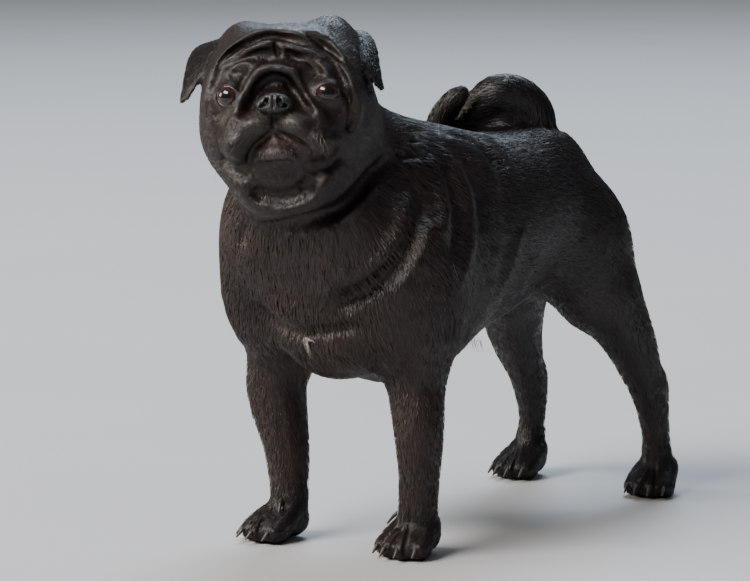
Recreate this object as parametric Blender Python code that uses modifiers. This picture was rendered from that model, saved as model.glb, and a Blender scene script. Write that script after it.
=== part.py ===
"""A standing pug, life size, as a still model: one solid for each part of the body.

The dog faces -Y, its left side is +X and Z is up. Sizes are in millimetres and are scaled to
metres at the end. The flesh is one smooth field of eggs and limbs that melt into each other.
A mesh is wrapped round it, and thin cuts part it into head, neck, torso, legs and paws. Ears,
eyes, nose, tail and claws are pieces of their own that meet the flesh with a small gap.
"""

import math

import bpy
import bmesh
import numpy as np
from mathutils import Matrix, Vector

MM = 0.001
GAP = 0.3  # left between pieces that touch
SWELL = 1.25  # how much further than the gap a cutter's corners stand off

# Where the feet stand, where the legs bend, and how far the toes turn out in degrees
FRONT_PAWS = {"left": (55.5, -146.0), "right": (-57.0, -160.0)}
HIND_PAWS = {"left": (63.0, 150.0), "right": (-62.0, 149.0)}
FRONT_TOE_OUT = {"left": 4.0, "right": 16.0}
HIND_TOE_OUT = {"left": 14.0, "right": 2.0}
HIND_SCALE = 0.92
PAW_TOP = 37.0
SIDES = {"left": 1.0, "right": -1.0}

# How many triangles each wrapped piece keeps, and how fine its wrap is
TRIANGLES = {"body": 4500, "head": 4300, "paw": 380, "nose": 340, "tail": 440}
VOXELS = {"body": 5.0, "head": 1.9, "paw": 2.4, "nose": 0.85, "tail": 3.0}

# Where the head sits and how it is held, in degrees
HEAD_AT = (-19.0, -184.0, 318.0)
HEAD_YAW, HEAD_PITCH, HEAD_ROLL = 29.0, -16.0, -3.0

# Sizes in the head's own frame: x to its left, y back, z up
EYE_AT = (33.0, -45.0, -4.5)
EYE_RADIUS = 10.0
EYE_OUTWARD, EYE_UPWARD = 16.0, 3.0
LID = 2.3
EYE_SLIT = {"left": (9.6, 5.3), "right": (9.8, 8.6)}
EYE_SLIT_DEPTH = 13.0
NOSE_AT = (0.0, -62.5, -14.0)
NOSTRIL_EGGS = (("hole", (2.0, 5.5, 2.5), (4.6, -10.5, 0.6), -20.0),
                ("comma", (3.2, 5.0, 1.2), (8.2, -9.0, -2.6), 12.0))
EAR_ROLL = {"left": 17.0, "right": 14.0}
CREASE_EDGE, CREASE_BLUNT = 1.2, 0.9
FOLD_LIMIT = 12.0

# The front and the back edge of each ear flap from its root over its fold to its tip
EAR_EDGES = {
    "left": ([(24, -6, 49), (37, -16, 43), (48, -22.5, 31), (56, -27, 18), (63.5, -26, 3)],
             [(33, 22, 44), (47, 18, 53), (58, 8, 42), (62.5, -6, 21), (65, -20, 1)]),
    "right": ([(36, -8, 48), (47, -15, 43), (52.5, -22, 31), (57, -28, 16), (67, -27, -1)],
              [(44, 24, 38), (62, 19, 48), (72, 9, 40), (73.5, -6, 21), (71, -23, -3)]),
}
EAR_COLUMNS = 7
EAR_CUP = 4.0
EAR_THICK = 2.8

# Each toe's place in the paw, across and forward, and the claws
TOES = ((-15.0, -3.0), (-5.3, -10.0), (5.3, -10.0), (15.0, -3.0))
CLAW_RADIUS, DEWCLAW_RADIUS = 2.5, 2.1
CLAW_TIP_RADIUS = 0.8
CLAW_BEND = 1.2
TAIL_PART_Y = 31.5

# Where the pieces are parted: the neck from the head, and each leg from the trunk
NAPE_AT = (-14.0, -146.0, 284.0)
NAPE_TURN = (14.0, -52.0, 0.0)
COLLAR_LINE = [(-25, 330), (-52, 282), (-92, 240), (-140, 212), (-190, 198), (-240, 192)]
FORELEG_DOMES = {"left": ((58, -134, 112), (36, 50, 56)), "right": ((-64, -142, 112), (40, 50, 56))}
HINDLEG_DOMES = {"left": ((46, 100, 165), (38, 66, 60)), "right": ((-46, 102, 165), (38, 66, 60))}
FORELEG_SKIRT, HINDLEG_SKIRT = 72.0, 112.0

COLOURS = {
    "coat": ((0.022, 0.019, 0.019), 0.5),
    "leather": ((0.012, 0.011, 0.012), 0.35),
    "eye": ((0.05, 0.018, 0.008), 0.05),
    "claw": ((0.30, 0.26, 0.22), 0.4),
}


def turned(yaw=0.0, pitch=0.0, roll=0.0):
    """Turn about Z, then about the turned X and Y, in degrees."""
    return (Matrix.Rotation(math.radians(yaw), 3, "Z") @ Matrix.Rotation(math.radians(pitch), 3, "X")
            @ Matrix.Rotation(math.radians(roll), 3, "Y"))


def placed(at, turn):
    return Matrix.Translation(at) @ turn.to_4x4()


BODY = Matrix.Identity(4)
HEAD = placed(HEAD_AT, turned(HEAD_YAW, HEAD_PITCH, HEAD_ROLL))


def mirrored(point, side):
    return (point[0] * side, point[1], point[2])


def smooth_line(points, steps=4):
    """Points along a Catmull-Rom curve through the given ones."""
    knots = [np.array(p, float) for p in points]
    knots = [2 * knots[0] - knots[1], *knots, 2 * knots[-1] - knots[-2]]
    line = []
    for a, b, c, d in zip(knots, knots[1:], knots[2:], knots[3:]):
        for t in np.linspace(0.0, 1.0, steps, endpoint=False):
            line.append(0.5 * (2 * b + (c - a) * t + (2 * a - 5 * b + 4 * c - d) * t**2
                               + (3 * b - a - 3 * c + d) * t**3))
    return np.array([*line, knots[-2]])


def nearest(points, line):
    """How far each point is from a broken line, and where along it from 0 to 1 it is nearest."""
    best = np.full(len(points), 1e9)
    place = np.zeros(len(points))
    for i in range(len(line) - 1):
        along = line[i + 1] - line[i]
        share = np.clip(((points - line[i]) @ along) / (along @ along), 0.0, 1.0)
        apart = np.linalg.norm(points - line[i] - share[:, None] * along, axis=1)
        closer = apart < best
        best[closer] = apart[closer]
        place[closer] = (i + share[closer]) / (len(line) - 1)
    return best, place


class Egg:
    """An ellipsoid of the field. A cut one takes flesh away."""

    def __init__(self, at, radii, blend=12.0, turn=(0.0, 0.0, 0.0), frame=BODY, cut=False):
        matrix = np.array(frame @ placed(at, turned(*turn)))
        self.middle, self.axes = matrix[:3, 3], matrix[:3, :3]
        self.radii = np.array(radii, float)
        self.blend, self.cut = blend, cut
        self.reach = float(max(radii))

    def distance(self, points):
        q = (points - self.middle) @ self.axes
        inner = np.linalg.norm(q / self.radii, axis=1) + 1e-9
        outer = np.linalg.norm(q / self.radii**2, axis=1) + 1e-9
        return inner * (inner - 1.0) / outer

    def balls(self):
        return [(self.middle, self.radii, self.axes)]


class Limb:
    """A tapered rod with round ends along a smooth path."""

    def __init__(self, points, radii, blend=12.0, frame=BODY):
        self.line = smooth_line([frame @ Vector(p) for p in points])
        self.radii = np.interp(np.linspace(0, 1, len(self.line)), np.linspace(0, 1, len(radii)), radii)
        self.blend, self.cut = blend, False
        self.middle = (self.line.max(axis=0) + self.line.min(axis=0)) / 2
        self.reach = float((np.linalg.norm(self.line - self.middle, axis=1) + self.radii).max())

    def distance(self, points):
        best = np.full(len(points), 1e9)
        for a, b, ra, rb in zip(self.line, self.line[1:], self.radii, self.radii[1:]):
            along = b - a
            share = np.clip(((points - a) @ along) / (along @ along), 0.0, 1.0)
            apart = np.linalg.norm(points - a - share[:, None] * along, axis=1) - (ra + (rb - ra) * share)
            best = np.minimum(best, apart)
        return best

    def balls(self):
        made = []
        for a, b, ra, rb in zip(self.line, self.line[1:], self.radii, self.radii[1:]):
            steps = max(1, round(float(np.linalg.norm(b - a)) / (0.5 * min(ra, rb))))
            for share in np.linspace(0.0, 1.0, steps + 1):
                made.append((a + share * (b - a), np.full(3, ra + (rb - ra) * share), np.eye(3)))
        return made


class Fold:
    """A raised roll of skin along a line, or a crease where its height is below zero.

    The line is drawn on the plane of two of the frame's axes, and the fold shows where the third
    coordinate, times its sign, is above a limit.
    """

    reach, blend = 90.0, 0.0

    def __init__(self, line, height, width, frame=HEAD, seen_along=(1, -1.0), limit=16.0, fade=14.0):
        self.line = smooth_line(line)
        self.height, self.width, self.fade, self.limit = height, width, fade, limit
        self.axis, self.sign = seen_along
        self.kept = [i for i in range(3) if i != self.axis]
        matrix = np.array(frame)
        self.middle, self.axes = matrix[:3, 3], matrix[:3, :3]

    def lift(self, points):
        q = (points - self.middle) @ self.axes
        apart, place = nearest(q[:, self.kept], self.line)
        ends = np.clip(np.minimum(place, 1.0 - place) * 5.0, 0.0, 1.0) ** 0.5
        shown = np.clip((q[:, self.axis] * self.sign - self.limit) / self.fade, 0.0, 1.0)
        if self.height > 0:
            profile = np.exp(-(apart / self.width) ** 2)
        else:
            blunt = np.sqrt(apart**2 + CREASE_BLUNT**2) - CREASE_BLUNT
            profile = np.exp(-CREASE_EDGE * blunt / self.width)
        return self.height * profile * ends * shown


def field(forms, points):
    """Signed distance to the melted forms: below zero inside."""
    total = np.full(len(points), 60.0)
    for form in forms:
        near = np.linalg.norm(points - form.middle, axis=1) < form.reach + form.blend + 10.0
        if not near.any():
            continue
        now = total[near]
        if isinstance(form, Fold):
            total[near] = now - form.lift(points[near])
            continue
        apart = form.distance(points[near]) * (-1.0 if form.cut else 1.0)
        overlap = np.maximum(form.blend - np.abs(now - apart), 0.0) ** 2 / form.blend / 4
        total[near] = np.maximum(now, apart) + overlap if form.cut else np.minimum(now, apart) - overlap
    return total


def slope(forms, points, step=0.4):
    total = np.zeros_like(points)
    for corner in np.array([(1, -1, -1), (-1, -1, 1), (-1, 1, -1), (1, 1, 1)], float):
        total += corner * field(forms, points + step * corner)[:, None]
    return total / (4 * step)


def torso_forms():
    """Broad ribs, deep brisket, level back and rounded rump."""
    forms = [
        Egg((0, -94, 202), (72, 84, 90), 22),
        Egg((0, -24, 214), (69, 84, 72), 22),
        Egg((0, 40, 224), (59, 76, 60), 22),
        Egg((0, 90, 212), (52, 56, 56), 22),
        Egg((0, 72, 262), (32, 44, 26), 20),
        Egg((0, -60, 266), (40, 56, 26), 20),
        Egg((0, -158, 176), (50, 38, 54), 20),
    ]
    for at, radii in (((52, -134, 186), (33, 43, 60)), ((-63, -148, 192), (36, 46, 64))):
        forms.append(Egg(at, radii, 20))
    return forms


def neck_forms():
    """A short thick neck, and loose skin hanging at the throat."""
    return [
        Limb([(0, -84, 236), (-5, -124, 259), (-15, -162, 286)], [58, 54, 48], 22),
        Egg((-36, -170, 232), (47, 42, 50), 20),
        Egg((6, -168, 228), (50, 40, 44), 20),
    ]


def skull_forms():
    """Flat broad skull, brow, cheeks, short square muzzle, lips, chin and lids."""
    forms = [
        Egg((0, 4, 7), (54, 56, 46), 16, frame=HEAD),
        Egg((0, -20, 20), (41, 31, 29), 14, frame=HEAD),
        Egg((0, -14, -50), (42, 38, 34), 16, frame=HEAD),
        Egg((0, -37, -28), (34, 24, 24), 12, frame=HEAD),
    ]
    for name, side in SIDES.items():
        forms += [
            Egg(mirrored((30, -6, 42), side), (14, 22, EAR_ROLL[name]), 12, frame=HEAD),
            Egg(mirrored((30, -4, 30), side), (22, 30, 20), 14, (0, 0, 16 * side), HEAD),
            Egg(mirrored((37, -22, 12), side), (18, 21, 20), 12, frame=HEAD),
            Egg(mirrored((36, -10, -18), side), (26, 38, 36), 16, frame=HEAD),
            Egg(mirrored((35, -33, -5), side), (19, 15, 18), 9, frame=HEAD),
            Egg(mirrored((25, -36, 13), side), (19, 13, 8), 8, (0, 0, 10 * side), HEAD),
            Egg(mirrored((15, -50, -29), side), (17, 17, 13), 6, (6 * side, 0, 12 * side), HEAD),
            Egg(mirrored((27, -46, -40), side), (14, 19, 13), 6, (10 * side, 0, 20 * side), HEAD),
        ]
    forms += [
        Egg((0, -50, -12), (14, 13, 12), 8, frame=HEAD),
        Egg((0, -46, -47), (17, 17, 10), 6, frame=HEAD),
    ]
    return forms


def head_folds():
    """Wrinkles, the mouth and the creases round it, drawn as seen from the front."""
    arches = [
        ([(0, 43), (13, 40), (27, 32)], 3.0, 4.0),
        ([(0, 36.5), (11, 35), (22, 31), (33, 23)], -3.8, 3.0),
        ([(3, 30.5), (12, 29), (21, 25), (31, 20)], 3.8, 4.0),
        ([(3, 22), (12, 23), (22, 21), (32, 17)], -3.6, 3.2),
        ([(0, 12), (11, 9), (17.5, 1), (23, -9), (31, -22), (38, -31)], 6.2, 4.6),
        ([(0, 3), (8, 2), (14, -5), (19, -14), (24, -22)], -5.2, 3.2),
        ([(0, 24), (8, 23), (16, 20)], -3.6, 3.6),
        ([(15, 47), (24, 41), (34, 34), (42, 25), (47, 14), (50, 2), (50, -12), (47, -26)], 3.4, 3.8),
        ([(20, 38), (31, 29), (39, 19), (43, 8), (44, -6), (43, -20)], -3.2, 3.0),
        ([(0, -33), (5, -36), (11, -41), (16, -47), (22, -53)], -4.4, 2.6),
        ([(16, -56), (24, -57), (31, -55), (37, -49), (42, -40)], -3.8, 3.2),
        ([(0, -58), (8, -58), (15, -55)], -3.0, 3.0),
        ([(0, -71), (11, -69), (20, -62)], -4.0, 5.0),
        ([(0, -83), (12, -81), (23, -76), (30, -67), (36, -57), (42, -49)], 5.0, 5.4),
    ]
    forms = [Fold([(0, -20), (0, -26), (0, -33)], -3.2, 2.2), Fold([(0, 19), (0, 26), (0, 32)], -2.8, 3.2)]
    for line, height, width in arches:
        if line[0][0] == 0:
            whole = [(-x, z) for x, z in reversed(line[1:])] + line
            forms.append(Fold(whole, height, width, limit=FOLD_LIMIT))
        else:
            for side in SIDES.values():
                forms.append(Fold([(x * side, z) for x, z in line], height, width, limit=FOLD_LIMIT))
    return forms


def eye_frame(side):
    return HEAD @ placed(mirrored(EYE_AT, side), turned(EYE_OUTWARD * side, EYE_UPWARD))


def lid_forms():
    """A dome of lid over each eyeball."""
    return [Egg((0, 0, 0), (EYE_RADIUS + LID,) * 3, 3.0, frame=eye_frame(side)) for side in SIDES.values()]


def nose_forms():
    """The nose leather with its two comma nostrils and the groove between them."""
    x, y, z = NOSE_AT
    forms = [
        Egg((x, y, z + 1.5), (11, 9.5, 6.5), 3, frame=HEAD),
        Egg((x, y - 1, z - 4), (6, 8, 4.2), 3, frame=HEAD),
    ]
    for side in SIDES.values():
        forms.append(Egg((x + 7 * side, y - 1, z - 1), (5.6, 6.5, 4.6), 3, (12 * side, 0, 0), HEAD))
    forms.append(Fold([(0, z + 5), (0, z - 2), (0, z - 9)], -1.2, 1.4))
    return forms


def nostril_cuts(collection):
    """Two eggs for each nostril: the round hole beside the groove and its comma toward the wing."""
    x, y, z = NOSE_AT
    cuts = []
    for name, side in SIDES.items():
        for kind, radii, at, roll in NOSTRIL_EGGS:
            place = placed((x + at[0] * side, y + at[1], z + at[2]), turned(0.0, 0.0, roll * side))
            shape = bmesh.new()
            bmesh.ops.create_uvsphere(shape, u_segments=10, v_segments=8, radius=1.0,
                                      matrix=HEAD @ place @ Matrix.Diagonal((*radii, 1.0)))
            cuts.append(from_bmesh(f"{kind}_{name}", shape, collection))
    return cuts


def front_leg_forms(name):
    """Straight strong foreleg from the upper arm to the wrist."""
    bones = {
        "left": ([(47, -122, 154), (49, -129, 122), (56, -135, 90), (58, -137, 62), (57.5, -138, 30)],
                 [23, 21, 18.5, 15.5, 14]),
        "right": ([(-60, -130, 152), (-69, -140, 118), (-66, -142, 94), (-57, -144, 66), (-51, -148, 30)],
                  [27, 23, 21, 17, 13.6]),
    }
    points, radii = bones[name]
    elbow = points[1]
    return [Limb(points, radii, 14), Egg((elbow[0], elbow[1] + 7, elbow[2] + 8), (14, 16, 17), 10)]


def hind_leg_forms(name):
    """Broad thigh, knee forward, hock back and an upright foot."""
    bones = {
        "left": ([(46, 112, 154), (54, 130, 122), (58, 143, 93), (60, 153, 68), (61, 157, 46), (62, 158, 26)],
                 [27, 20.5, 15.5, 12.5, 11.5, 11.5]),
        "right": ([(-46, 114, 152), (-54, 132, 116), (-57, 149, 89), (-59, 160, 64), (-61, 165, 44),
                   (-62, 163, 26)], [28, 21, 15.5, 12.5, 11, 11.5]),
    }
    points, radii = bones[name]
    side = SIDES[name]
    hock = points[3]
    return [
        Egg((39 * side, 97, 186), (28, 45, 54), 18, (0, 8, 0)),
        Limb(points, radii, 14),
        Egg((hock[0], hock[1] + 6, hock[2] + 14), (8, 8, 17), 12, (0, -12, 0)),
    ]


def paw_frame(at, toe_out, side):
    return placed((at[0], at[1], 0.0), turned(toe_out * side))


def paw_forms(frame, scale):
    """Four arched toes, their knuckles and the pad behind them."""
    forms = [Egg((0, 10 * scale, 13), (17 * scale, 19 * scale, 13), 9, frame=frame)]
    for across, forward in TOES:
        across, forward = across * scale, forward * scale
        path = [(across * 0.6, 14, 21), (across * 0.88, forward + 5, 15), (across * 1.04, forward - 7, 8.0)]
        forms.append(Limb(path, [8, 7.6 * scale, 6.4 * scale], 3.0, frame))
        forms.append(Egg((across, forward - 2, 5.5), (6.0, 9, 6.0), 3.0, frame=frame))
    return forms


def all_paws():
    """Name, frame, scale and side of each paw."""
    made = []
    for name, side in SIDES.items():
        front = paw_frame(FRONT_PAWS[name], FRONT_TOE_OUT[name], side)
        hind = paw_frame(HIND_PAWS[name], HIND_TOE_OUT[name], side)
        made.append((f"paw_front_{name}", front, 1.0, side))
        made.append((f"paw_hind_{name}", hind, HIND_SCALE, side))
    return made


def tail_forms():
    """The tail in two lengths: up from the croup and over the right hip, then round to its tip."""
    base = Limb([(0, 76, 268), (-1, 78, 292), (-6, 66, 306), (-14, 52, 309), (-26, 48, 300),
                 (-40, 48, 287), (-49, 40, 276), (-51, 31, 274)], [18, 18, 17.5, 16.5, 15, 13.5, 12.6, 12])
    tip = Limb([(-49, 40, 276), (-51, 31, 274), (-48, 24, 284), (-40, 20, 296), (-31, 20, 307),
                (-26, 23, 312)], [12.6, 12, 11.2, 10.2, 9, 7])
    under_curl = Egg((-16, 58, 286), (21, 18, 14), 6)
    return {"tail_base": [base, under_curl], "tail_tip": [tip]}


def new_object(name, mesh, collection):
    made = bpy.data.objects.new(name, mesh)
    collection.objects.link(made)
    return made


def from_bmesh(name, shape, collection):
    mesh = bpy.data.meshes.new(name)
    shape.to_mesh(mesh)
    shape.free()
    return new_object(name, mesh, collection)


def apply_modifiers(made):
    bpy.context.view_layer.update()
    graph = bpy.context.evaluated_depsgraph_get()
    mesh = bpy.data.meshes.new_from_object(made.evaluated_get(graph))
    made.modifiers.clear()
    made.data = mesh


def vertices_of(made):
    points = np.empty(len(made.data.vertices) * 3)
    made.data.vertices.foreach_get("co", points)
    return points.reshape(-1, 3)


def set_vertices(made, points):
    made.data.vertices.foreach_set("co", points.astype(np.float32).ravel())
    made.data.update()


def drawn_in(points, forms, longest, steps):
    """Moves points onto the surface where the field is zero."""
    for _ in range(steps):
        normal = slope(forms, points)
        length = np.maximum(np.linalg.norm(normal, axis=1), 0.35)
        move = np.clip(field(forms, points) / length, -longest, longest)
        points = points - move[:, None] * normal / length[:, None]
    return points


def wrapped(name, start_forms, forms, collection, keep=None):
    """One closed mesh round the melted forms: balls are voxel-remeshed, then moved onto the field."""
    kind = name.split("_")[0]
    voxel = VOXELS[kind]
    start = bmesh.new()
    for form in start_forms:
        if isinstance(form, Fold) or form.cut:
            continue
        for at, radii, axes in form.balls():
            shape = Matrix(axes.tolist()) @ Matrix.Diagonal(Vector(radii.tolist()))
            matrix = Matrix.Translation(Vector(at.tolist())) @ shape.to_4x4()
            bmesh.ops.create_icosphere(start, subdivisions=3, radius=1.0, matrix=matrix)
    made = from_bmesh(name, start, collection)
    for steps in (4, 3, 0):
        remesh = made.modifiers.new("wrap", "REMESH")
        remesh.mode = "VOXEL"
        remesh.voxel_size = voxel
        apply_modifiers(made)
        set_vertices(made, drawn_in(vertices_of(made), forms, voxel * 1.5, steps))
    soften = made.modifiers.new("soften", "SMOOTH")
    soften.iterations = 2
    apply_modifiers(made)
    thinned(made, keep or TRIANGLES[kind])
    return made


def thinned(made, triangles):
    """Fewer triangles, most of them kept where the surface bends."""
    sides = sum(len(face.vertices) - 2 for face in made.data.polygons)
    if sides > triangles:
        fewer = made.modifiers.new("fewer", "DECIMATE")
        fewer.ratio = triangles / sides
        apply_modifiers(made)


def swollen(made, collection):
    """A copy of a piece whose surface stands off by a little over the gap, to cut its neighbours with."""
    copy = new_object(f"{made.name}_swollen", made.data.copy(), collection)
    normals = np.empty(len(copy.data.vertices) * 3)
    copy.data.vertices.foreach_get("normal", normals)
    set_vertices(copy, vertices_of(copy) + normals.reshape(-1, 3) * GAP * SWELL)
    return copy


def sliced(made, at, away):
    """Removes what lies on the far side of a plane and closes the cut with a flat face."""
    shape = bmesh.new()
    shape.from_mesh(made.data)
    everything = [*shape.verts, *shape.edges, *shape.faces]
    bmesh.ops.bisect_plane(shape, geom=everything, dist=0.001, plane_co=at, plane_no=away, clear_outer=True)
    rim = [edge for edge in shape.edges if edge.is_boundary]
    bmesh.ops.triangle_fill(shape, edges=rim, use_beauty=True)
    bmesh.ops.recalc_face_normals(shape, faces=shape.faces)
    shape.to_mesh(made.data)
    shape.free()


def loose_groups(shape):
    """The vertices of each closed surface of a mesh."""
    groups, unseen = [], set(shape.verts)
    while unseen:
        stack, group = [unseen.pop()], set()
        while stack:
            vert = stack.pop()
            group.add(vert)
            for edge in vert.link_edges:
                other = edge.other_vert(vert)
                if other in unseen:
                    unseen.discard(other)
                    stack.append(other)
        groups.append(group)
    return sorted(groups, key=len)


def largest_only(made):
    """Keeps the largest closed surface of a piece."""
    shape = bmesh.new()
    shape.from_mesh(made.data)
    for group in loose_groups(shape)[:-1]:
        bmesh.ops.delete(shape, geom=list(group), context="VERTS")
    shape.to_mesh(made.data)
    shape.free()


def subtract(made, cutters):
    for cutter in cutters:
        cut = made.modifiers.new(cutter.name, "BOOLEAN")
        cut.operation = "DIFFERENCE"
        cut.object = cutter
    apply_modifiers(made)
    largest_only(made)


def cut_sheet(name, line, axis, first, last, collection):
    """A thin bent sheet: a line in the plane across the axis, drawn out along it."""
    shape = bmesh.new()
    rows = []
    for point in smooth_line(line, 5):
        row = []
        for along in np.linspace(first, last, 3):
            place = list(point)
            place.insert(axis, along)
            row.append(shape.verts.new(place))
        rows.append(row)
    for one, two in zip(rows, rows[1:]):
        for i in range(len(one) - 1):
            shape.faces.new((one[i], one[i + 1], two[i + 1], two[i]))
    made = from_bmesh(name, shape, collection)
    wall = made.modifiers.new("wall", "SOLIDIFY")
    wall.thickness = GAP
    wall.offset = 0.0
    apply_modifiers(made)
    return made


def dome_sheet(name, at, radii, skirt, collection):
    """A thin dome over the top of a leg, with a skirt that comes down into the open."""
    shape = bmesh.new()
    matrix = Matrix.Translation(at) @ Matrix.Diagonal(Vector(radii)).to_4x4()
    bmesh.ops.create_uvsphere(shape, u_segments=24, v_segments=14, radius=1.0, matrix=matrix)
    low = [vert for vert in shape.verts if vert.co.z < at[2] - 0.01]
    bmesh.ops.delete(shape, geom=low, context="VERTS")
    rim = [edge for edge in shape.edges if edge.is_boundary]
    grown = bmesh.ops.extrude_edge_only(shape, edges=rim)
    for vert in grown["geom"]:
        if isinstance(vert, bmesh.types.BMVert):
            vert.co.z = skirt
    made = from_bmesh(name, shape, collection)
    wall = made.modifiers.new("wall", "SOLIDIFY")
    wall.thickness = GAP
    wall.offset = 0.0
    apply_modifiers(made)
    return made


def make_ear(name, side, collection):
    """A soft flap that rises from the corner of the skull, folds over and hangs with its tip forward."""
    front, back = (smooth_line(edge, 3) for edge in EAR_EDGES[name[4:]])
    shape = bmesh.new()
    rows = []
    for i, (a, b) in enumerate(zip(front, back)):
        row = []
        for t in np.linspace(0.0, 1.0, EAR_COLUMNS):
            bulge = EAR_CUP * 4 * t * (1 - t) * (0.3 + 0.7 * i / (len(front) - 1))
            x, y, z = a + (b - a) * t
            row.append(shape.verts.new(HEAD @ Vector(((x + bulge) * side, y, z))))
        rows.append(row)
    for one, two in zip(rows, rows[1:]):
        for i in range(EAR_COLUMNS - 1):
            shape.faces.new((one[i], one[i + 1], two[i + 1], two[i]))
    bmesh.ops.recalc_face_normals(shape, faces=shape.faces)
    made = from_bmesh(name, shape, collection)
    wall = made.modifiers.new("wall", "SOLIDIFY")
    wall.thickness = EAR_THICK
    wall.offset = 0.0
    apply_modifiers(made)
    return made


def make_claw(name, frame, root, tip, radius, collection):
    """A short blunt claw, bent down towards its tip."""
    root, tip = Vector(root), Vector(tip)
    along = tip - root
    shape = bmesh.new()
    matrix = Matrix.Translation((root + tip) / 2) @ along.to_track_quat("Z", "Y").to_matrix().to_4x4()
    bmesh.ops.create_cone(shape, cap_ends=True, segments=6, radius1=radius, radius2=CLAW_TIP_RADIUS,
                          depth=along.length, matrix=matrix)
    sides = [edge for edge in shape.edges if edge.calc_length() > along.length / 2]
    bmesh.ops.subdivide_edges(shape, edges=sides, cuts=1)
    for vert in shape.verts:
        share = (vert.co - root).dot(along) / along.length_squared
        vert.co.z += 4.0 * CLAW_BEND * share * (1 - share)
    bmesh.ops.transform(shape, matrix=frame, verts=shape.verts)
    return from_bmesh(name, shape, collection)


def paw_claws(name, frame, scale, side, collection):
    """The claws of one paw, numbered from the inner toe outwards, and the dewclaw of a front paw."""
    made = []
    for number, (across, forward) in enumerate(TOES, 1):
        across, forward = across * scale * side, forward * scale
        root = (across * 1.03, forward - 8, 11)
        tip = (across * 1.10, forward - 18, 4.0)
        made.append(make_claw(f"claw_{name[4:]}_{number}", frame, root, tip, CLAW_RADIUS, collection))
    if "front" in name:
        root, tip = mirrored((-8.5, 2, 31), side), mirrored((-15, -5, 22.5), side)
        made.append(make_claw(f"dewclaw_{name[10:]}", frame, root, tip, DEWCLAW_RADIUS, collection))
    return made


def split_loose(made, collection):
    """Each closed surface of a mesh as an object of its own."""
    shape = bmesh.new()
    shape.from_mesh(made.data)
    pieces = []
    for group in loose_groups(shape):
        part = bmesh.new()
        copies = {vert: part.verts.new(vert.co) for vert in shape.verts if vert in group}
        for face in shape.faces:
            if face.verts[0] in group:
                part.faces.new([copies[vert] for vert in face.verts])
        pieces.append(from_bmesh("piece", part, collection))
    shape.free()
    return pieces


def nape_plane(gap_side):
    away = turned(*NAPE_TURN) @ Vector((0, -1, 0))
    return Vector(NAPE_AT) + away * (GAP / 2) * gap_side, away


def make_trunk(trunk_forms, whole, pug, cutters):
    """Neck, trunk and legs as one mesh, parted by thin sheets and domes."""
    body = wrapped("body", trunk_forms + skull_forms(), whole, pug)
    at, away = nape_plane(-1)
    sliced(body, at, away)
    sliced(body, (0, 0, PAW_TOP + GAP), (0, 0, -1))
    cutter = swollen(body, cutters)
    sheets = [cut_sheet("collar", COLLAR_LINE, 0, -140, 140, cutters)]
    for name in SIDES:
        sheets.append(dome_sheet(f"shoulder_{name}", *FORELEG_DOMES[name], FORELEG_SKIRT, cutters))
        sheets.append(dome_sheet(f"hip_{name}", *HINDLEG_DOMES[name], HINDLEG_SKIRT, cutters))
    for sheet in sheets:
        cut = body.modifiers.new(sheet.name, "BOOLEAN")
        cut.operation = "DIFFERENCE"
        cut.object = sheet
    apply_modifiers(body)
    pieces = split_loose(body, pug)
    bpy.data.objects.remove(body)
    wanted = {
        "neck": (-10, -130, 255),
        "torso": (0, -10, 215),
        "foreleg_left": (57, -135, 95),
        "foreleg_right": (-64, -142, 95),
        "hindleg_left": (55, 125, 120),
        "hindleg_right": (-55, 125, 120),
    }
    for piece in pieces:
        if len(piece.data.vertices) < 40:
            bpy.data.objects.remove(piece)
            continue
        middle = vertices_of(piece).mean(axis=0)
        piece.name = min(wanted, key=lambda name: np.linalg.norm(middle - np.array(wanted[name])))
    return cutter


def eye_ball(name, side, radius, collection):
    shape = bmesh.new()
    upright = Matrix.Rotation(math.radians(90), 4, "X")
    bmesh.ops.create_uvsphere(shape, u_segments=18, v_segments=10, radius=radius,
                              matrix=eye_frame(side) @ upright)
    return from_bmesh(name, shape, collection)


def eye_opening(name, side, collection):
    """An egg in front of the eye that cuts the slit between the lids."""
    wide, high = EYE_SLIT[name]
    centre = Matrix.Translation((0, -EYE_RADIUS - EYE_SLIT_DEPTH / 2, 0))
    egg = Matrix.Diagonal((wide, EYE_SLIT_DEPTH, high, 1.0))
    shape = bmesh.new()
    bmesh.ops.create_uvsphere(shape, u_segments=20, v_segments=16, radius=1.0,
                              matrix=eye_frame(side) @ centre @ egg)
    return from_bmesh(f"opening_{name}", shape, collection)


def make_head(whole, pug, cutters):
    """The head with sockets for the eyes, and the ears, eyes and nose that meet it."""
    fine_head = 40000
    head = wrapped("head", skull_forms() + neck_forms(), whole, pug, fine_head)
    at, away = nape_plane(1)
    sliced(head, at, -away)
    thinned(head, TRIANGLES["head"])
    cutter = swollen(head, cutters)
    holes = []
    for name, side in SIDES.items():
        eye_ball(f"eye_{name}", side, EYE_RADIUS, pug)
        holes.append(eye_ball(f"socket_{name}", side, EYE_RADIUS + GAP, cutters))
        holes.append(eye_opening(name, side, cutters))
        ear = make_ear(f"ear_{name}", side, pug)
        subtract(ear, [cutter])
    subtract(head, holes)
    nose = wrapped("nose", nose_forms(), nose_forms(), pug)
    subtract(nose, [cutter, *nostril_cuts(cutters)])


def make_paws(whole, pug, cutters):
    """Paws cut flat under the wrist and flattened where they stand, and their claws."""
    for name, frame, scale, side in all_paws():
        legs = front_leg_forms(name[10:]) if "front" in name else hind_leg_forms(name[9:])[1:2]
        fine_paw = 3000
        paw = wrapped(name, paw_forms(frame, scale) + legs, whole, pug, fine_paw)
        sliced(paw, (0, 0, PAW_TOP), (0, 0, 1))
        thinned(paw, TRIANGLES["paw"])
        cutter = swollen(paw, cutters)
        points = vertices_of(paw)
        points[:, 2] = np.maximum(points[:, 2], 0.0)
        set_vertices(paw, points)
        for claw in paw_claws(name, frame, scale, side, pug):
            subtract(claw, [cutter])


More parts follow.
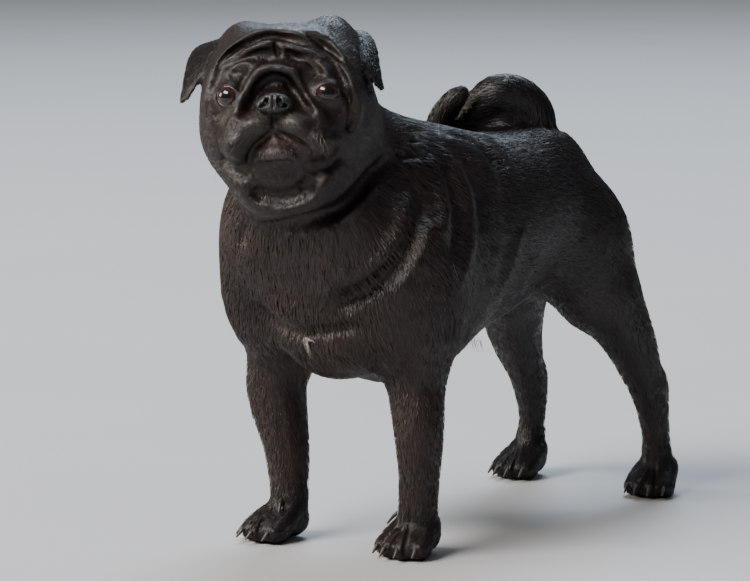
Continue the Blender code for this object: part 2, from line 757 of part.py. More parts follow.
def make_tail(body_cutter, pug):
    """The two lengths of the tail, parted where it turns beside the hip."""
    for name, forms in tail_forms().items():
        length = wrapped(name, forms, forms, pug)
        toward = 1.0 if name == "tail_tip" else -1.0
        sliced(length, (0, TAIL_PART_Y - toward * GAP / 2, 0), (0, toward, 0))
        subtract(length, [body_cutter])


def material(name):
    """A Principled material of the named colour and roughness."""
    colour, roughness = COLOURS[name]
    made = bpy.data.materials.new(name)
    made.use_nodes = True
    shader = made.node_tree.nodes["Principled BSDF"]
    shader.inputs["Base Color"].default_value = (*colour, 1.0)
    shader.inputs["Roughness"].default_value = roughness
    shader.inputs["Metallic"].default_value = 0.0
    made.diffuse_color = (*colour, 1.0)
    return made


def finish(pug, cutters):
    """Gives each piece its material, scales all to metres and stands it on its own middle."""
    materials = {name: material(name) for name in COLOURS}
    kinds = {"nose": "leather", "eye": "eye", "claw": "claw"}
    points = np.concatenate([vertices_of(made) for made in pug.objects])
    low, high = points.min(axis=0), points.max(axis=0)
    shift = Matrix.Translation((-(low[0] + high[0]) / 2, -(low[1] + high[1]) / 2, -low[2]))
    for made in [*pug.objects, *cutters.objects]:
        made.data.transform(Matrix.Scale(MM, 4) @ shift)
    for made in pug.objects:
        made.data.materials.clear()
        made.data.materials.append(materials[kinds.get(made.name.split("_")[0], "coat")])
        made.data.shade_smooth()
        made.data.set_sharp_from_angle(angle=math.radians(50))
    for made in cutters.objects:
        made.hide_render = True
        made.display_type = "WIRE"


def main():
    for old in list(bpy.data.objects):
        bpy.data.objects.remove(old)
    pug = bpy.data.collections.new("pug")
    cutters = bpy.data.collections.new("cutters")
    for collection in (pug, cutters):
        bpy.context.scene.collection.children.link(collection)
    trunk_forms = torso_forms() + neck_forms()
    for name in SIDES:
        trunk_forms += front_leg_forms(name) + hind_leg_forms(name)
    whole = list(trunk_forms)
    for _, frame, scale, _ in all_paws():
        whole += paw_forms(frame, scale)
    whole += skull_forms() + head_folds() + lid_forms()
    body_cutter = make_trunk(trunk_forms, whole, pug, cutters)
    make_head(whole, pug, cutters)
    make_paws(whole, pug, cutters)
    make_tail(body_cutter, pug)
    finish(pug, cutters)


if __name__ == "__main__":
    main()
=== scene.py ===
"""The looks of a standing pug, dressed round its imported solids.

The dog faces -Y, its left side is +X and Z is up. One skin is wrapped round the solids of the
flesh and folds are pressed into it. A short coat of solid tufts lies over it, and eyes, lid rims,
nose, claws and long hairs are pieces of their own. Places on the face are given as seen in the
picture: millimetres right and up from the middle of the nose, at the distance of the head.
"""

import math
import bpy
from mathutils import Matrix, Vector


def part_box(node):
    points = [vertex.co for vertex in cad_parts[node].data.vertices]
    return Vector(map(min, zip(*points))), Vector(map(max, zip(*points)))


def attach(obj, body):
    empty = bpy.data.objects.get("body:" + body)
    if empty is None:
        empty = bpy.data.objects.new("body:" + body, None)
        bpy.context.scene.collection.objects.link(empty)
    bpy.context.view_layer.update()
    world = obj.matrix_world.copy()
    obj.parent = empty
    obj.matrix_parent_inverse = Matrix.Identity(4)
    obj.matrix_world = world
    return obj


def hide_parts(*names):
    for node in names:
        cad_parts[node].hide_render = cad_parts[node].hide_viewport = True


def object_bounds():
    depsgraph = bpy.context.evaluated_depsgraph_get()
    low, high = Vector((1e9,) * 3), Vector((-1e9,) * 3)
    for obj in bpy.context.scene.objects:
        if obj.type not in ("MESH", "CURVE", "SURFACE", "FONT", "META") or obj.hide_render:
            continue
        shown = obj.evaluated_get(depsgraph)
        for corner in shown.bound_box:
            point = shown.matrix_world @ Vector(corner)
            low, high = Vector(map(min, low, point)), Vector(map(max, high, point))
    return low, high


bl_info = {
    "name": "Standing Pug",
    "version": (1, 0, 0),
    "blender": (4, 5, 0),
    "location": "View3D > Sidebar > Pug",
    "description": "Skin, coat, eyes, nose, claws and studio for a standing pug",
    "category": "Add Mesh",
}

import bpy
import numpy as np
from bpy.props import FloatProperty, FloatVectorProperty, IntProperty, PointerProperty
from mathutils import Matrix, Vector, kdtree
from mathutils.bvhtree import BVHTree

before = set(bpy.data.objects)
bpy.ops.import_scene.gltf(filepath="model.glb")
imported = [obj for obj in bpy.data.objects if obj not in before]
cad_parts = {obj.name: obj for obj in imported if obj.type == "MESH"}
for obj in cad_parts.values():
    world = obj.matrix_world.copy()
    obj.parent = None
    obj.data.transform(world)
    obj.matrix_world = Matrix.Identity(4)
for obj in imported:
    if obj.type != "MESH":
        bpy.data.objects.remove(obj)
CAD_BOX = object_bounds()

MM = 0.001
SIDES = {"left": 1.0, "right": -1.0}
FLESH = [
    "head", "neck", "torso", "foreleg_left", "foreleg_right", "hindleg_left", "hindleg_right",
    "paw_front_left", "paw_front_right", "paw_hind_left", "paw_hind_right",
    "ear_left", "ear_right", "tail_base", "tail_tip",
]

# How the head is held, in degrees, and where its parts sit in its own frame: x left, y back, z up
HEAD_YAW, HEAD_PITCH, HEAD_ROLL = 29.0, -16.0, -3.0
EYE_AT = Vector((33.0, -45.0, -4.5)) * MM
EYE_OUTWARD, EYE_UPWARD = 16.0, 3.0
EYE_SLIT = {"left": (9.6, 5.3), "right": (9.8, 8.6)}
EYE_SLIT_FRONT, EYE_SLIT_DEPTH = 16.5, 13.0
EYE_CLEAR, NOSE_CLEAR = 12.2 * MM, 8.5 * MM  # no hair grows this near to the middle of eye and nose
HEAD_STANCE = Vector((-19.0, -184.0, 318.0)) * MM

# The camera of the photograph, in the stance's frame, and the nose's place in the picture
CAMERA_AT = Vector((1.50956, -2.02790, 0.50321))
CAMERA_BACK = Vector((0.61389, -0.77842, 0.13119))
CAMERA_RIGHT = Vector((0.78520, 0.61924, 0.0))
CAMERA_UP = Vector((-0.08124, 0.10301, 0.99136))
CAMERA_LENS, SENSOR = 165.55, 36.0
PICTURE_WIDE, PICTURE_HIGH = 750, 581
NOSE_PIXEL = (273.4, 101.2)
PIXELS_A_MM = 1.47
SEED = 7
COAT_MOST = 19500  # tufts in one piece of the coat
TUFT_POINTS, HAIR_RINGS = 7, 6
TUFT_BELOW = 0.3 * MM  # how far a tuft's root is under the skin
GUIDE_REACH = 60.0  # softens the pull of a guide of the hair's lie close to it, in square millimetres
CAMERA_FAR = 2.5  # about how far the dog is from the camera, in metres
RING_RADIUS = 6.0 * MM  # of the ring from which each lid's rim is shaped
ROUNDNESS, LEAN = 0.4, 0.12  # how the light rolls off a tuft toward its edges, and how tufts differ


def turned(yaw=0.0, pitch=0.0, roll=0.0):
    """Turn about Z, then about the turned X and Y, in degrees."""
    return (Matrix.Rotation(math.radians(yaw), 3, "Z") @ Matrix.Rotation(math.radians(pitch), 3, "X")
            @ Matrix.Rotation(math.radians(roll), 3, "Y"))


def middle_of(node):
    low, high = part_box(node)
    return (low + high) / 2


HEAD_TURN = turned(HEAD_YAW, HEAD_PITCH, HEAD_ROLL)
HEAD = Matrix.Translation(middle_of("eye_left") - HEAD_TURN @ EYE_AT) @ HEAD_TURN.to_4x4()
STANCE = HEAD.translation - HEAD_STANCE  # how far the stance's frame is from the solids' frame
CAMERA = CAMERA_AT + STANCE
FOCUS = CAMERA_LENS / SENSOR * PICTURE_WIDE


def seen(points):
    """Where points show in the picture, in millimetres right and up from the nose."""
    ray = points - np.array(CAMERA)
    depth = -(ray @ np.array(CAMERA_BACK))
    across = PICTURE_WIDE / 2 + FOCUS * (ray @ np.array(CAMERA_RIGHT)) / depth
    down = PICTURE_HIGH / 2 - FOCUS * (ray @ np.array(CAMERA_UP)) / depth
    return np.stack([across - NOSE_PIXEL[0], NOSE_PIXEL[1] - down], axis=1) / PIXELS_A_MM


def sight(place):
    """The direction from the camera through a place in the picture."""
    across = place[0] * PIXELS_A_MM + NOSE_PIXEL[0] - PICTURE_WIDE / 2
    up = place[1] * PIXELS_A_MM - NOSE_PIXEL[1] + PICTURE_HIGH / 2
    return (CAMERA_RIGHT * across / FOCUS + CAMERA_UP * up / FOCUS - CAMERA_BACK).normalized()


# Folds of the face in the picture: the line, its height and its width, in millimetres.
# A height above zero is a roll of skin, and one below zero is a crease.
FACE_FOLDS = [
    ([(-41.5, 25), (-36.5, 32), (-27.5, 39), (-16.5, 45), (-6.5, 47.5), (7.5, 46.5), (17.5, 45),
      (25.5, 39), (33.5, 33), (41.5, 28), (47.5, 23), (52, 16), (55, 8), (58, -1), (58.3, -10),
      (56, -18), (53, -23)], 2.6, 2.6),
    ([(-40.5, 21), (-35.5, 27), (-30.5, 32), (-24.5, 36), (-18.5, 39), (-11.5, 42.5), (-5.5, 44.5),
      (0.5, 45), (8.5, 43.2), (17.5, 40), (24.5, 37), (30.5, 33.5), (37.5, 28), (43.5, 24)], -2.6, 1.7),
    ([(-36.5, 22), (-32, 27.5), (-26.5, 31), (-17.5, 35), (-8.5, 38.2), (-2.5, 39.2), (0.7, 38),
      (2.2, 35)], 2.2, 2.4),
    ([(6, 38), (14.5, 35.5), (23.5, 34), (30.5, 30), (37.5, 26)], 2.2, 2.6),
    ([(1.1, 41), (1.9, 37), (3.5, 31)], -3.0, 1.4),
    ([(-33.5, 22), (-27.5, 26.5), (-20.5, 29.5), (-10.5, 32.8), (-1.5, 34.2)], -2.6, 1.8),
    ([(7, 34), (12.5, 32), (17.5, 29), (25.5, 26), (33.5, 20)], -2.6, 1.8),
    ([(-31, 21), (-25.5, 25), (-19.5, 26), (-12.5, 24.5)], 1.8, 2.8),
    ([(16.5, 26), (22.5, 27), (29.5, 25), (35.5, 21), (40.5, 16)], 1.8, 2.8),
    ([(-31.5, 18), (-23.5, 20), (-15.5, 19)], -1.8, 3.2),
    ([(17.5, 20), (25.5, 21), (33.5, 17)], -1.8, 3.2),
    ([(-8.5, 29), (-0.5, 27.5), (8.5, 28), (15.5, 26)], -2.2, 3.4),
    ([(-32.5, -18), (-27.5, -7), (-22.5, 2), (-17.5, 10), (-11.5, 19), (-6.5, 22.5), (-0.5, 23.5),
      (6.5, 21.5), (12.5, 19), (17.5, 13), (22.5, 5), (28.5, -3), (35.5, -11), (40.5, -19)], 2.4, 3.2),
    ([(-19, 20), (-21.5, 13), (-23.5, 6)], -1.8, 2.2),
    ([(18, 21), (23, 9), (28, 0), (35, -7)], -1.6, 2.2),
    ([(-14.5, 0), (-11.5, 7), (-6.5, 13), (0.5, 16), (7.5, 14), (12.5, 9), (16.5, 1)], -3.4, 2.4),
    ([(-22.5, -21), (-14.5, -15), (-6.5, -11)], 1.2, 5.5),
    ([(6.5, -11), (14.5, -15), (23.5, -21)], 1.2, 5.5),
    ([(0, -5), (0.3, -11), (0.5, -20)], -2.4, 1.1),
    ([(0.7, -20.5), (-3.5, -24), (-7.5, -27.5), (-11.5, -31), (-14.5, -35), (-16, -40),
      (-17, -45)], -3.6, 1.5),
    ([(0.7, -20.5), (5.5, -23.5), (12.5, -26.5), (18, -29.5), (22.5, -34), (25.5, -39)], -3.6, 1.5),
    ([(-36, -36), (-32, -40.5), (-27, -43), (-22, -44.5), (-18, -45)], -2.4, 2.0),
    ([(39.5, -27), (38.5, -34), (35.5, -40), (30.5, -43), (25.5, -41)], -2.4, 2.0),
    ([(-16, -42), (-8.5, -43.5), (-0.5, -43), (8.5, -42.5), (14.5, -41.5)], -2.0, 1.8),
    ([(-14.5, -60), (-10.5, -64), (-6.5, -65.5)], -2.6, 4.0),
    ([(25.5, -51), (22.5, -57), (17.5, -61)], -2.4, 4.4),
    ([(-30.5, -46), (-23.5, -52), (-18.5, -58), (-14.5, -65), (-6.5, -71), (4.5, -74), (16.5, -72.5),
      (26.5, -68), (33.5, -60), (38.5, -51), (44.5, -42)], 1.3, 4.6),
    ([(48, 10), (51.5, 2), (53.5, -7), (53, -15), (50.5, -22)], -4.2, 2.2),
    ([(-45.5, 0), (-46.5, -7), (-46, -14)], -2.2, 2.0),
    ([(16.5, 51.5), (22.5, 45.5), (30.5, 39), (38.5, 33.5), (44.5, 29), (50.5, 23), (55.5, 15),
      (58.5, 5)], -1.4, 2.2),
    ([(-8.5, 50.5), (-18.5, 46.5), (-27.5, 41), (-34.5, 36), (-40.5, 29), (-44, 21)], -1.8, 1.8),
    ([(-38, 0), (-34.5, -4.5), (-29.5, -5.5), (-24.5, -3)], -0.8, 1.1),
    ([(27, 4), (31.5, 0), (38.5, 0), (42.5, 3)], -0.8, 1.1),
    ([(-37.5, -17), (-36.5, -27), (-35.5, -35)], -1.2, 2.0),
    ([(38, -21), (39.5, -27), (38.5, -34)], -1.2, 2.0),
]

# Folds of the neck, chest and shoulder in the picture
BODY_FOLDS = [
    ([(78, 0.8), (80, -11.4), (78, -22.3), (71.8, -34.6), (61, -44.8), (45.3, -61.8), (31.7, -69.9),
      (16.7, -75.4), (-2.3, -78.1), (-17.3, -74), (-29.5, -64.5)], 3.5, 5.0),
    ([(85.4, -14.1), (83.4, -26.4), (78, -38.6), (66.4, -51.6), (53.5, -66.5), (41.2, -74.7),
      (24.9, -80.1), (6.5, -82.9), (-10.5, -83.5)], -6.0, 5.0),
    ([(89.5, -16.9), (92.9, -29.8), (94.3, -41.4)], -3.0, 8.0),
    ([(106.5, -33.2), (112, -48.2), (115.4, -63.8), (116.1, -77.4), (114.7, -97.1)], 3.4, 4.6),
    ([(109.9, -31.2), (116.7, -46.8), (122.2, -61.8), (124.2, -78.8), (123.5, -97.8),
      (120.1, -110.7)], -3.0, 4.0),
    ([(111.3, -28.4), (120.1, -38), (127.6, -51.6), (132.4, -66.5), (134.4, -90.3), (131.7, -112.8),
      (125.6, -135.2)], 3.0, 3.6),
    ([(117.4, -30.5), (128.3, -40), (136.5, -53.6), (141.2, -70.6), (143.3, -91)], -2.4, 4.4),
    ([(107.9, -24.4), (123.5, -26.4), (135.1, -31.8), (143.3, -40.7), (149.4, -52.9),
      (152.8, -68.6)], 2.4, 3.2),
    ([(113.3, -21.6), (128.3, -25), (139.2, -31.2), (147.3, -40), (153.5, -52.2)], -2.0, 2.6),
    ([(107.9, -20.3), (126.9, -19.9), (139.2, -23.7), (150.7, -33.2), (158.9, -45.4),
      (164.4, -60.4)], 2.2, 3.2),
    ([(169.8, -84.2), (167.4, -95.1), (163, -112.8), (154.1, -129.8), (144.6, -141.4)], 2.2, 3.0),
    ([(159.6, -91), (156.9, -109.4), (150.1, -125)], -2.0, 4.0),
    ([(180, -101.2), (173.9, -118.9), (167.8, -128.4)], 1.8, 3.0),
    ([(152.8, -97.8), (152.1, -114.8), (145.3, -133.9)], 1.8, 3.0),
    ([(92.2, -57.7), (92.2, -70.6), (88.2, -87.6), (80, -101.2), (69.1, -112.1), (55.5, -118.9),
      (41.9, -122.3), (26.3, -123.7)], 5.0, 8.0),
    ([(98.4, -60.4), (97.7, -79.5), (91.6, -97.8), (80.7, -113.5), (66.4, -126.4), (50.1, -136.6),
      (35.8, -141.4)], -5.5, 6.0),
    ([(103.8, -76.7), (101.8, -99.9), (90.9, -121.6), (78.6, -140)], 3.0, 8.0),
    ([(-22, -97.8), (-9.8, -118.2), (3.8, -135.9), (22.2, -148.2)], 3.0, 8.0),
    ([(-24.1, -131.8), (-3.7, -148.8), (17.4, -159), (38.5, -156.3), (72.5, -152.9)], -4.5, 4.5),
    ([(33.7, -165.9), (58.2, -176.7), (77.3, -189.7)], 3.0, 4.0),
    ([(14, -172), (35.8, -184.2), (60.3, -195.8)], -3.0, 5.0),
    ([(-20.7, -84.2), (-22.7, -99.2)], -2.6, 3.0),
]

# Wrinkles on the far side, drawn as seen from the side: back and up in the stance's frame
FAR_FOLDS = [
    ([(-52, 288), (-40, 245), (-38, 205)], 1.8, 5.0),
    ([(-28, 286), (-14, 245), (-12, 205)], 1.8, 5.0),
    ([(-152, 262), (-122, 238), (-108, 196)], 2.4, 6.0),
    ([(-158, 250), (-130, 226), (-117, 190)], -2.4, 4.0),
    ([(60, 200), (66, 180), (72, 160)], -1.6, 4.0),
]

CLEFT = (-2.0, 1.3)  # height and width of the cleft between two toes

# The comma of each nostril and the groove between them
NOSE_FOLDS = [
    ([(-5.2, 4.2), (-4.2, 1.2), (-4.6, -1.6), (-6.4, -2.6), (-9.6, -1.8)], -2.8, 1.1),
    ([(4.8, 4.2), (3.8, 1.2), (4.4, -1.8), (6.4, -2.8), (10.2, -1.8)], -2.8, 1.1),
    ([(0, 5.5), (0, 0), (0, -6)], -0.9, 0.8),
]

# Long hairs in the picture: the row of roots from one end to the other, the way from a root to its
# tip, how far the middle bows aside, how many, how far they stray, how far their tips stand off the
# skin, how thick they are, all in millimetres, and how pale they are from 0 to 1
LONG_HAIRS = [
    ((31, -20), (35, -27), (4, -15), 4.0, 7, 1.0, 5.0, 0.10, 0.45),
    ((24, -18), (30, -30), (12, -14), 3.0, 6, 1.5, 9.0, 0.09, 0.15),
    ((-20, -40), (-25, -42), (-13, 2), -1.5, 4, 0.8, 3.0, 0.10, 0.45),
    ((-34, -36), (-37, -42), (-5, -18), -2.0, 4, 1.0, 5.0, 0.08, 0.1),
    ((-18, -22), (-28, -30), (-13, -12), -3.0, 6, 1.5, 9.0, 0.09, 0.15),
    ((-12, -34), (15, -33), (0.3, -4.2), 0.4, 55, 1.8, 1.2, 0.07, 0.5),
    ((-9, -47), (19, -47), (0.5, -5.0), 0.5, 50, 3.0, 1.4, 0.06, 0.15),
    ((20.1, -159.7), (21.0, -160.5), (9.0, -3.6), 0.8, 16, 0.7, 2.6, 0.14, 1.0),
    ((20.5, -160.5), (21.5, -161.5), (6.0, -12.5), -0.8, 18, 0.7, 2.6, 0.14, 1.0),
    ((120, -107), (121, -110), (4, -15), 0.6, 8, 0.8, 2.0, 0.10, 0.5),
    ((112, -158), (142, -163), (2, -8), 0.8, 70, 1.5, 3.0, 0.12, 0.05),
]

# The lie of the hair: a place and a direction there, in the stance's frame, for the left side
BODY_LIE = [
    ((0, -120, 290), (0, 1, -0.2)), ((0, 0, 292), (0, 1, 0)), ((0, 100, 262), (0, 1, -0.5)),
    ((0, 150, 220), (0.1, 0.3, -1)), ((65, 0, 220), (0, 1, -0.35)), ((45, 0, 160), (0, 1, 0.1)),
    ((0, 0, 148), (0, 1, 0)), ((72, -110, 220), (0, 0.7, -0.8)), ((55, -150, 262), (0.1, 0.5, -0.9)),
    ((0, -212, 200), (0, 0, -1)), ((50, -190, 185), (0.3, 0.2, -1)), ((0, -160, 130), (0, 0.6, -0.6)),
    ((66, -135, 150), (0.1, 0.2, -1)), ((57, -138, 80), (0, 0.1, -1)), ((56, -140, 40), (0, -0.3, -1)),
    ((56, -158, 14), (0, -1, -0.5)), ((66, 110, 195), (0.1, 0.6, -0.8)), ((60, 130, 120), (0, 0.4, -1)),
    ((61, 160, 60), (0, 0, -1)), ((62, 138, 14), (0, -1, -0.5)), ((30, 60, 180), (0.2, 0.8, -0.2)),
]
TAIL_LIE = [
    ((0, 78, 285), (0, 0.1, 1)), ((-6, 66, 312), (-0.5, -0.9, 0.5)), ((-22, 50, 306), (-1, -0.2, -0.6)),
    ((-42, 46, 286), (-0.8, -0.5, -0.9)), ((-50, 33, 275), (0, -1, -0.2)), ((-46, 22, 286), (0.5, -0.5, 1)),
    ((-32, 20, 306), (0.8, 0, 1)),
]
HEAD_LIE = [
    ((0, -55, 6), (0, 0.4, 1)), ((0, -34, 34), (0, 0.6, 1)), ((0, 10, 53), (0, 1, 0)),
    ((0, 52, 30), (0, 0.8, -0.6)), ((34, -30, 25), (0.8, 0.5, 0.5)), ((34, -42, -20), (0.5, 0.6, -0.4)),
    ((52, -10, -20), (0.2, 1, -0.4)), ((14, -64, -28), (0.8, 0.2, -0.7)),
    ((28, -55, -42), (0.5, 0.5, -0.7)), ((0, -62, -46), (0, 0.1, -1)), ((35, -25, -60), (0.2, 0.8, -0.7)),
    ((54, 0, 20), (0.1, 1, -0.2)), ((0, -30, -75), (0, 1, -0.6)),
]
EAR_LIE = [((46, 0, 46), (1, -0.4, 0.1)), ((62, -8, 32), (0.2, -0.5, -1)), ((64, -20, 10), (0, -0.5, -1))]


class Dent:
    """A fold drawn on a plane: a roll of skin, or a crease where its height is below zero."""

    def __init__(self, line, height, width):
        knots = [np.array(p, float) for p in line]
        knots = [2 * knots[0] - knots[1], *knots, 2 * knots[-1] - knots[-2]]
        self.line = []
        for a, b, c, d in zip(knots, knots[1:], knots[2:], knots[3:]):
            for t in (0.0, 0.25, 0.5, 0.75):
                self.line.append(0.5 * (2 * b + (c - a) * t + (2 * a - 5 * b + 4 * c - d) * t**2
                                        + (3 * b - a - 3 * c + d) * t**3))
        self.line.append(knots[-2])
        self.height, self.width = height, width

    def near(self, spots):
        low = np.min(self.line, axis=0) - 4 * self.width
        high = np.max(self.line, axis=0) + 4 * self.width
        return np.flatnonzero(((spots > low) & (spots < high)).all(axis=1))

    def apart(self, spots):
        """How far spots are from the line, and how near its ends they are, from 0 to 1."""
        best, place = np.full(len(spots), 1e9), np.zeros(len(spots))
        for i, (a, b) in enumerate(zip(self.line, self.line[1:])):
            along = b - a
            share = np.clip(((spots - a) @ along) / (along @ along), 0.0, 1.0)
            off = np.linalg.norm(spots - a - share[:, None] * along, axis=1)
            closer = off < best
            best[closer] = off[closer]
            place[closer] = (i + share[closer]) / (len(self.line) - 1)
        return best, rounded(np.minimum(place, 1.0 - place), -0.02, 0.2)

    def lift(self, spots):
        """How far the fold lifts each spot, in millimetres."""
        made = np.zeros(len(spots))
        near = self.near(spots)
        off, ends = self.apart(spots[near])
        made[near] = self.height * ends * np.exp(-((off / self.width) ** 2))
        return made


def deselect():
    bpy.ops.object.select_all(action="DESELECT")


def only(piece):
    deselect()
    piece.select_set(True)
    bpy.context.view_layer.objects.active = piece


def modified(piece, kind, **settings):
    """Adds a modifier to the piece and applies it."""
    modifier = piece.modifiers.new(kind.lower(), kind)
    for key, value in settings.items():
        setattr(modifier, key, value)
    only(piece)
    bpy.ops.object.modifier_apply(modifier=modifier.name)


def copied(name, nodes):
    """Copies of CAD nodes as one mesh with its doubles merged."""
    deselect()
    for node in nodes:
        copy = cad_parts[node].copy()
        copy.data = copy.data.copy()
        copy.parent = None
        for key in list(copy.keys()):
            del copy[key]
        bpy.context.scene.collection.objects.link(copy)
        copy.hide_viewport = copy.hide_render = False
        copy.select_set(True)
        bpy.context.view_layer.objects.active = copy
    if len(nodes) > 1:
        bpy.ops.object.join()
    made = bpy.context.view_layer.objects.active
    made.name = made.data.name = name
    only(made)
    bpy.ops.object.mode_set(mode="EDIT")
    bpy.ops.mesh.select_all(action="SELECT")
    bpy.ops.mesh.remove_doubles(threshold=0.00001)
    bpy.ops.object.mode_set(mode="OBJECT")
    return made


def values_of(mesh_data, key, width):
    made = np.empty(len(mesh_data) * width, np.float32)
    mesh_data.foreach_get(key, made)
    return made.reshape(-1, width).astype(float)


def points_of(piece):
    return values_of(piece.data.vertices, "co", 3)


def normals_of(piece):
    return values_of(piece.data.vertices, "normal", 3)


def set_points(piece, points):
    piece.data.vertices.foreach_set("co", points.astype(np.float32).ravel())
    piece.data.update()


def set_attribute(piece, name, values):
    attribute = piece.data.attributes.new(name, "FLOAT", "POINT")
    attribute.data.foreach_set("value", np.asarray(values, np.float32))


def facing(points, normals):
    """1 where the surface faces the camera, falling to 0 at its rim."""
    toward = np.array(CAMERA) - points
    toward /= np.linalg.norm(toward, axis=1)[:, None]
    return np.clip(((toward * normals).sum(axis=1) - 0.05) / 0.3, 0.0, 1.0)


def rounded(value, low, high):
    """0 below low and 1 above high, with a soft step between."""
    share = np.clip((value - low) / (high - low), 0.0, 1.0)
    return share * share * (3 - 2 * share)


class Map:
    """Which CAD node each place belongs to, and places in the frames of the head and stance."""

    def __init__(self, points):
        self.head = (points - np.array(HEAD.translation)) @ np.array(HEAD.to_3x3()) / MM
        self.stance = (points - np.array(STANCE)) / MM
        tree_points, tree_nodes = [], []
        for number, node in enumerate(FLESH):
            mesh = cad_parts[node].data
            spots = values_of(mesh.vertices, "co", 3)[::2]
            tree_points.extend(spots)
            tree_nodes.extend([number] * len(spots))
        tree = kdtree.KDTree(len(tree_points))
        for number, spot in enumerate(tree_points):
            tree.insert(spot, number)
        tree.balance()
        self.node = np.array([tree_nodes[tree.find(point)[1]] for point in points])

    def on(self, *words):
        """1 on the nodes whose names start with a word."""
        wanted = [i for i, node in enumerate(FLESH) if node.startswith(words)]
        return np.isin(self.node, wanted).astype(float)


def lie_at(points, normals, places):
    """The direction in which the hair lies at each point, along the surface."""
    total = np.zeros((len(points), 3))
    turn = np.array(HEAD.to_3x3())
    groups = [(BODY_LIE, places.stance, np.eye(3), True, 1.0 - places.on("ear", "tail", "head")),
              (TAIL_LIE, places.stance, np.eye(3), False, places.on("tail")),
              (HEAD_LIE, places.head, turn, True, places.on("head") * 6 + places.on("neck") * 0.3),
              (EAR_LIE, places.head, turn, True, places.on("ear") * 8)]
    for guides, spots, turning, both, weight in groups:
        for at, toward in guides:
            for side in (1.0, -1.0) if both and at[0] else (1.0,):
                place = np.array(at, float) * (side, 1, 1)
                way = np.array(toward, float) * (side, 1, 1)
                way = turning @ (way / np.linalg.norm(way))
                reach = ((spots - place) ** 2).sum(axis=1) + GUIDE_REACH
                total += (weight / reach**2)[:, None] * way
    total -= (total * normals).sum(axis=1)[:, None] * normals
    return total / np.maximum(np.linalg.norm(total, axis=1), 1e-9)[:, None]


def coat_depth(places):
    """How deep the coat is over the skin, in millimetres."""
    depth = np.full(len(places.node), 1.2)
    depth -= 0.3 * places.on("foreleg", "hindleg") + 0.6 * places.on("paw") + 0.7 * places.on("ear")
    face = rounded(-places.head[:, 1], -10.0, 30.0) * places.on("head")
    return depth * (1.0 - 0.6 * face)


def press(points, normals, folds, spots, share):
    """Moves points out and in along their normals by the folds drawn at the spots."""
    lift = np.zeros(len(points))
    for line, height, width in folds:
        lift += Dent(line, height, width).lift(spots)
    return points + normals * (lift * share * MM)[:, None]


class PugSkin(bpy.types.PropertyGroup):
    voxel: FloatProperty(name="Voxel", description="Size of the cells the skin is wrapped with",
                         default=0.0013, unit="LENGTH")
    swell: FloatProperty(name="Swell", description="How far the solids are swollen to close their gaps",
                         default=0.0003, unit="LENGTH")
    triangles: IntProperty(name="Triangles", description="Triangles of the whole skin", default=165000,
                           min=20000)
    colour: FloatVectorProperty(name="Coat", description="Colour of the coat", subtype="COLOR",
                                default=(0.0034, 0.0029, 0.0030), min=0.0, max=1.0)
    # Brown of the coat; on the chest and the lower body it also paints the sheen of light from the front
    # and below
    brown_and_painted_sheen: FloatVectorProperty(name="Warm", description="Brown that shows in the coat", subtype="COLOR",
                              default=(0.036, 0.0190, 0.0135), min=0.0, max=1.0)
    grey: FloatVectorProperty(name="Grey", description="Grey hairs round the mouth", subtype="COLOR",
                              default=(0.16, 0.145, 0.135), min=0.0, max=1.0)
    pink: FloatVectorProperty(name="Lip", description="Brownish pink of the lower lip", subtype="COLOR",
                              default=(0.075, 0.036, 0.032), min=0.0, max=1.0)
    roughness: FloatProperty(name="Roughness", description="Roughness of the coat", default=0.39,
                             subtype="FACTOR", min=0.0, max=1.0)


class PugCoat(bpy.types.PropertyGroup):
    tufts: IntProperty(name="Tufts", description="How many tufts the coat has in all", default=118000,
                       min=1000)
    thick: FloatProperty(name="Thickness", description="A tuft's thickness as a share of its width",
                         default=0.35)
    patch: FloatProperty(name="Patch", description="Size of a tuft's patch on the unwrapped skin",
                         default=0.003)


class PugHairs(bpy.types.PropertyGroup):
    pale: FloatVectorProperty(name="Pale", description="Colour of the silver hairs", subtype="COLOR",
                              default=(0.60, 0.56, 0.50), min=0.0, max=1.0)
    dark: FloatVectorProperty(name="Dark", description="Colour of the black hairs", subtype="COLOR",
                              default=(0.010, 0.007, 0.006), min=0.0, max=1.0)


class PugEyes(bpy.types.PropertyGroup):
    radius: FloatProperty(name="Radius", description="Radius of the eyeball", default=0.0101, unit="LENGTH")
    bulge: FloatProperty(name="Cornea", description="How far the cornea stands out", default=0.0009,
                         unit="LENGTH")
    iris_angle: FloatProperty(name="Iris", description="Half the angle the iris takes", default=0.86,
                              subtype="ANGLE")
    pupil_angle: FloatProperty(name="Pupil", description="Half the angle the pupil takes", default=0.41,
                               subtype="ANGLE")
    rim: FloatProperty(name="Rim", description="Radius of the wet rim of the lids", default=0.00055,
                       unit="LENGTH")


class PugStage(bpy.types.PropertyGroup):
    floor: FloatProperty(name="Floor", description="Width of the floor", default=60.0, unit="LENGTH")
    key: FloatProperty(name="Key light", description="Power of the key light", default=780.0, unit="POWER")
    sky: FloatProperty(name="Sky", description="Strength of the light from all round", default=0.2)


class Flow:
    """A socket of a node tree that takes part in Python expressions."""

    def __init__(self, shading, socket):
        self.shading, self.socket = shading, socket

    def math(self, operation, other):
        return self.shading.node("Math", {"operation": operation}, {0: self, 1: other})

    def __add__(self, other):
        return self.math("ADD", other)

    def __mul__(self, other):
        return self.math("MULTIPLY", other)

    __radd__ = __add__
    __rmul__ = __mul__


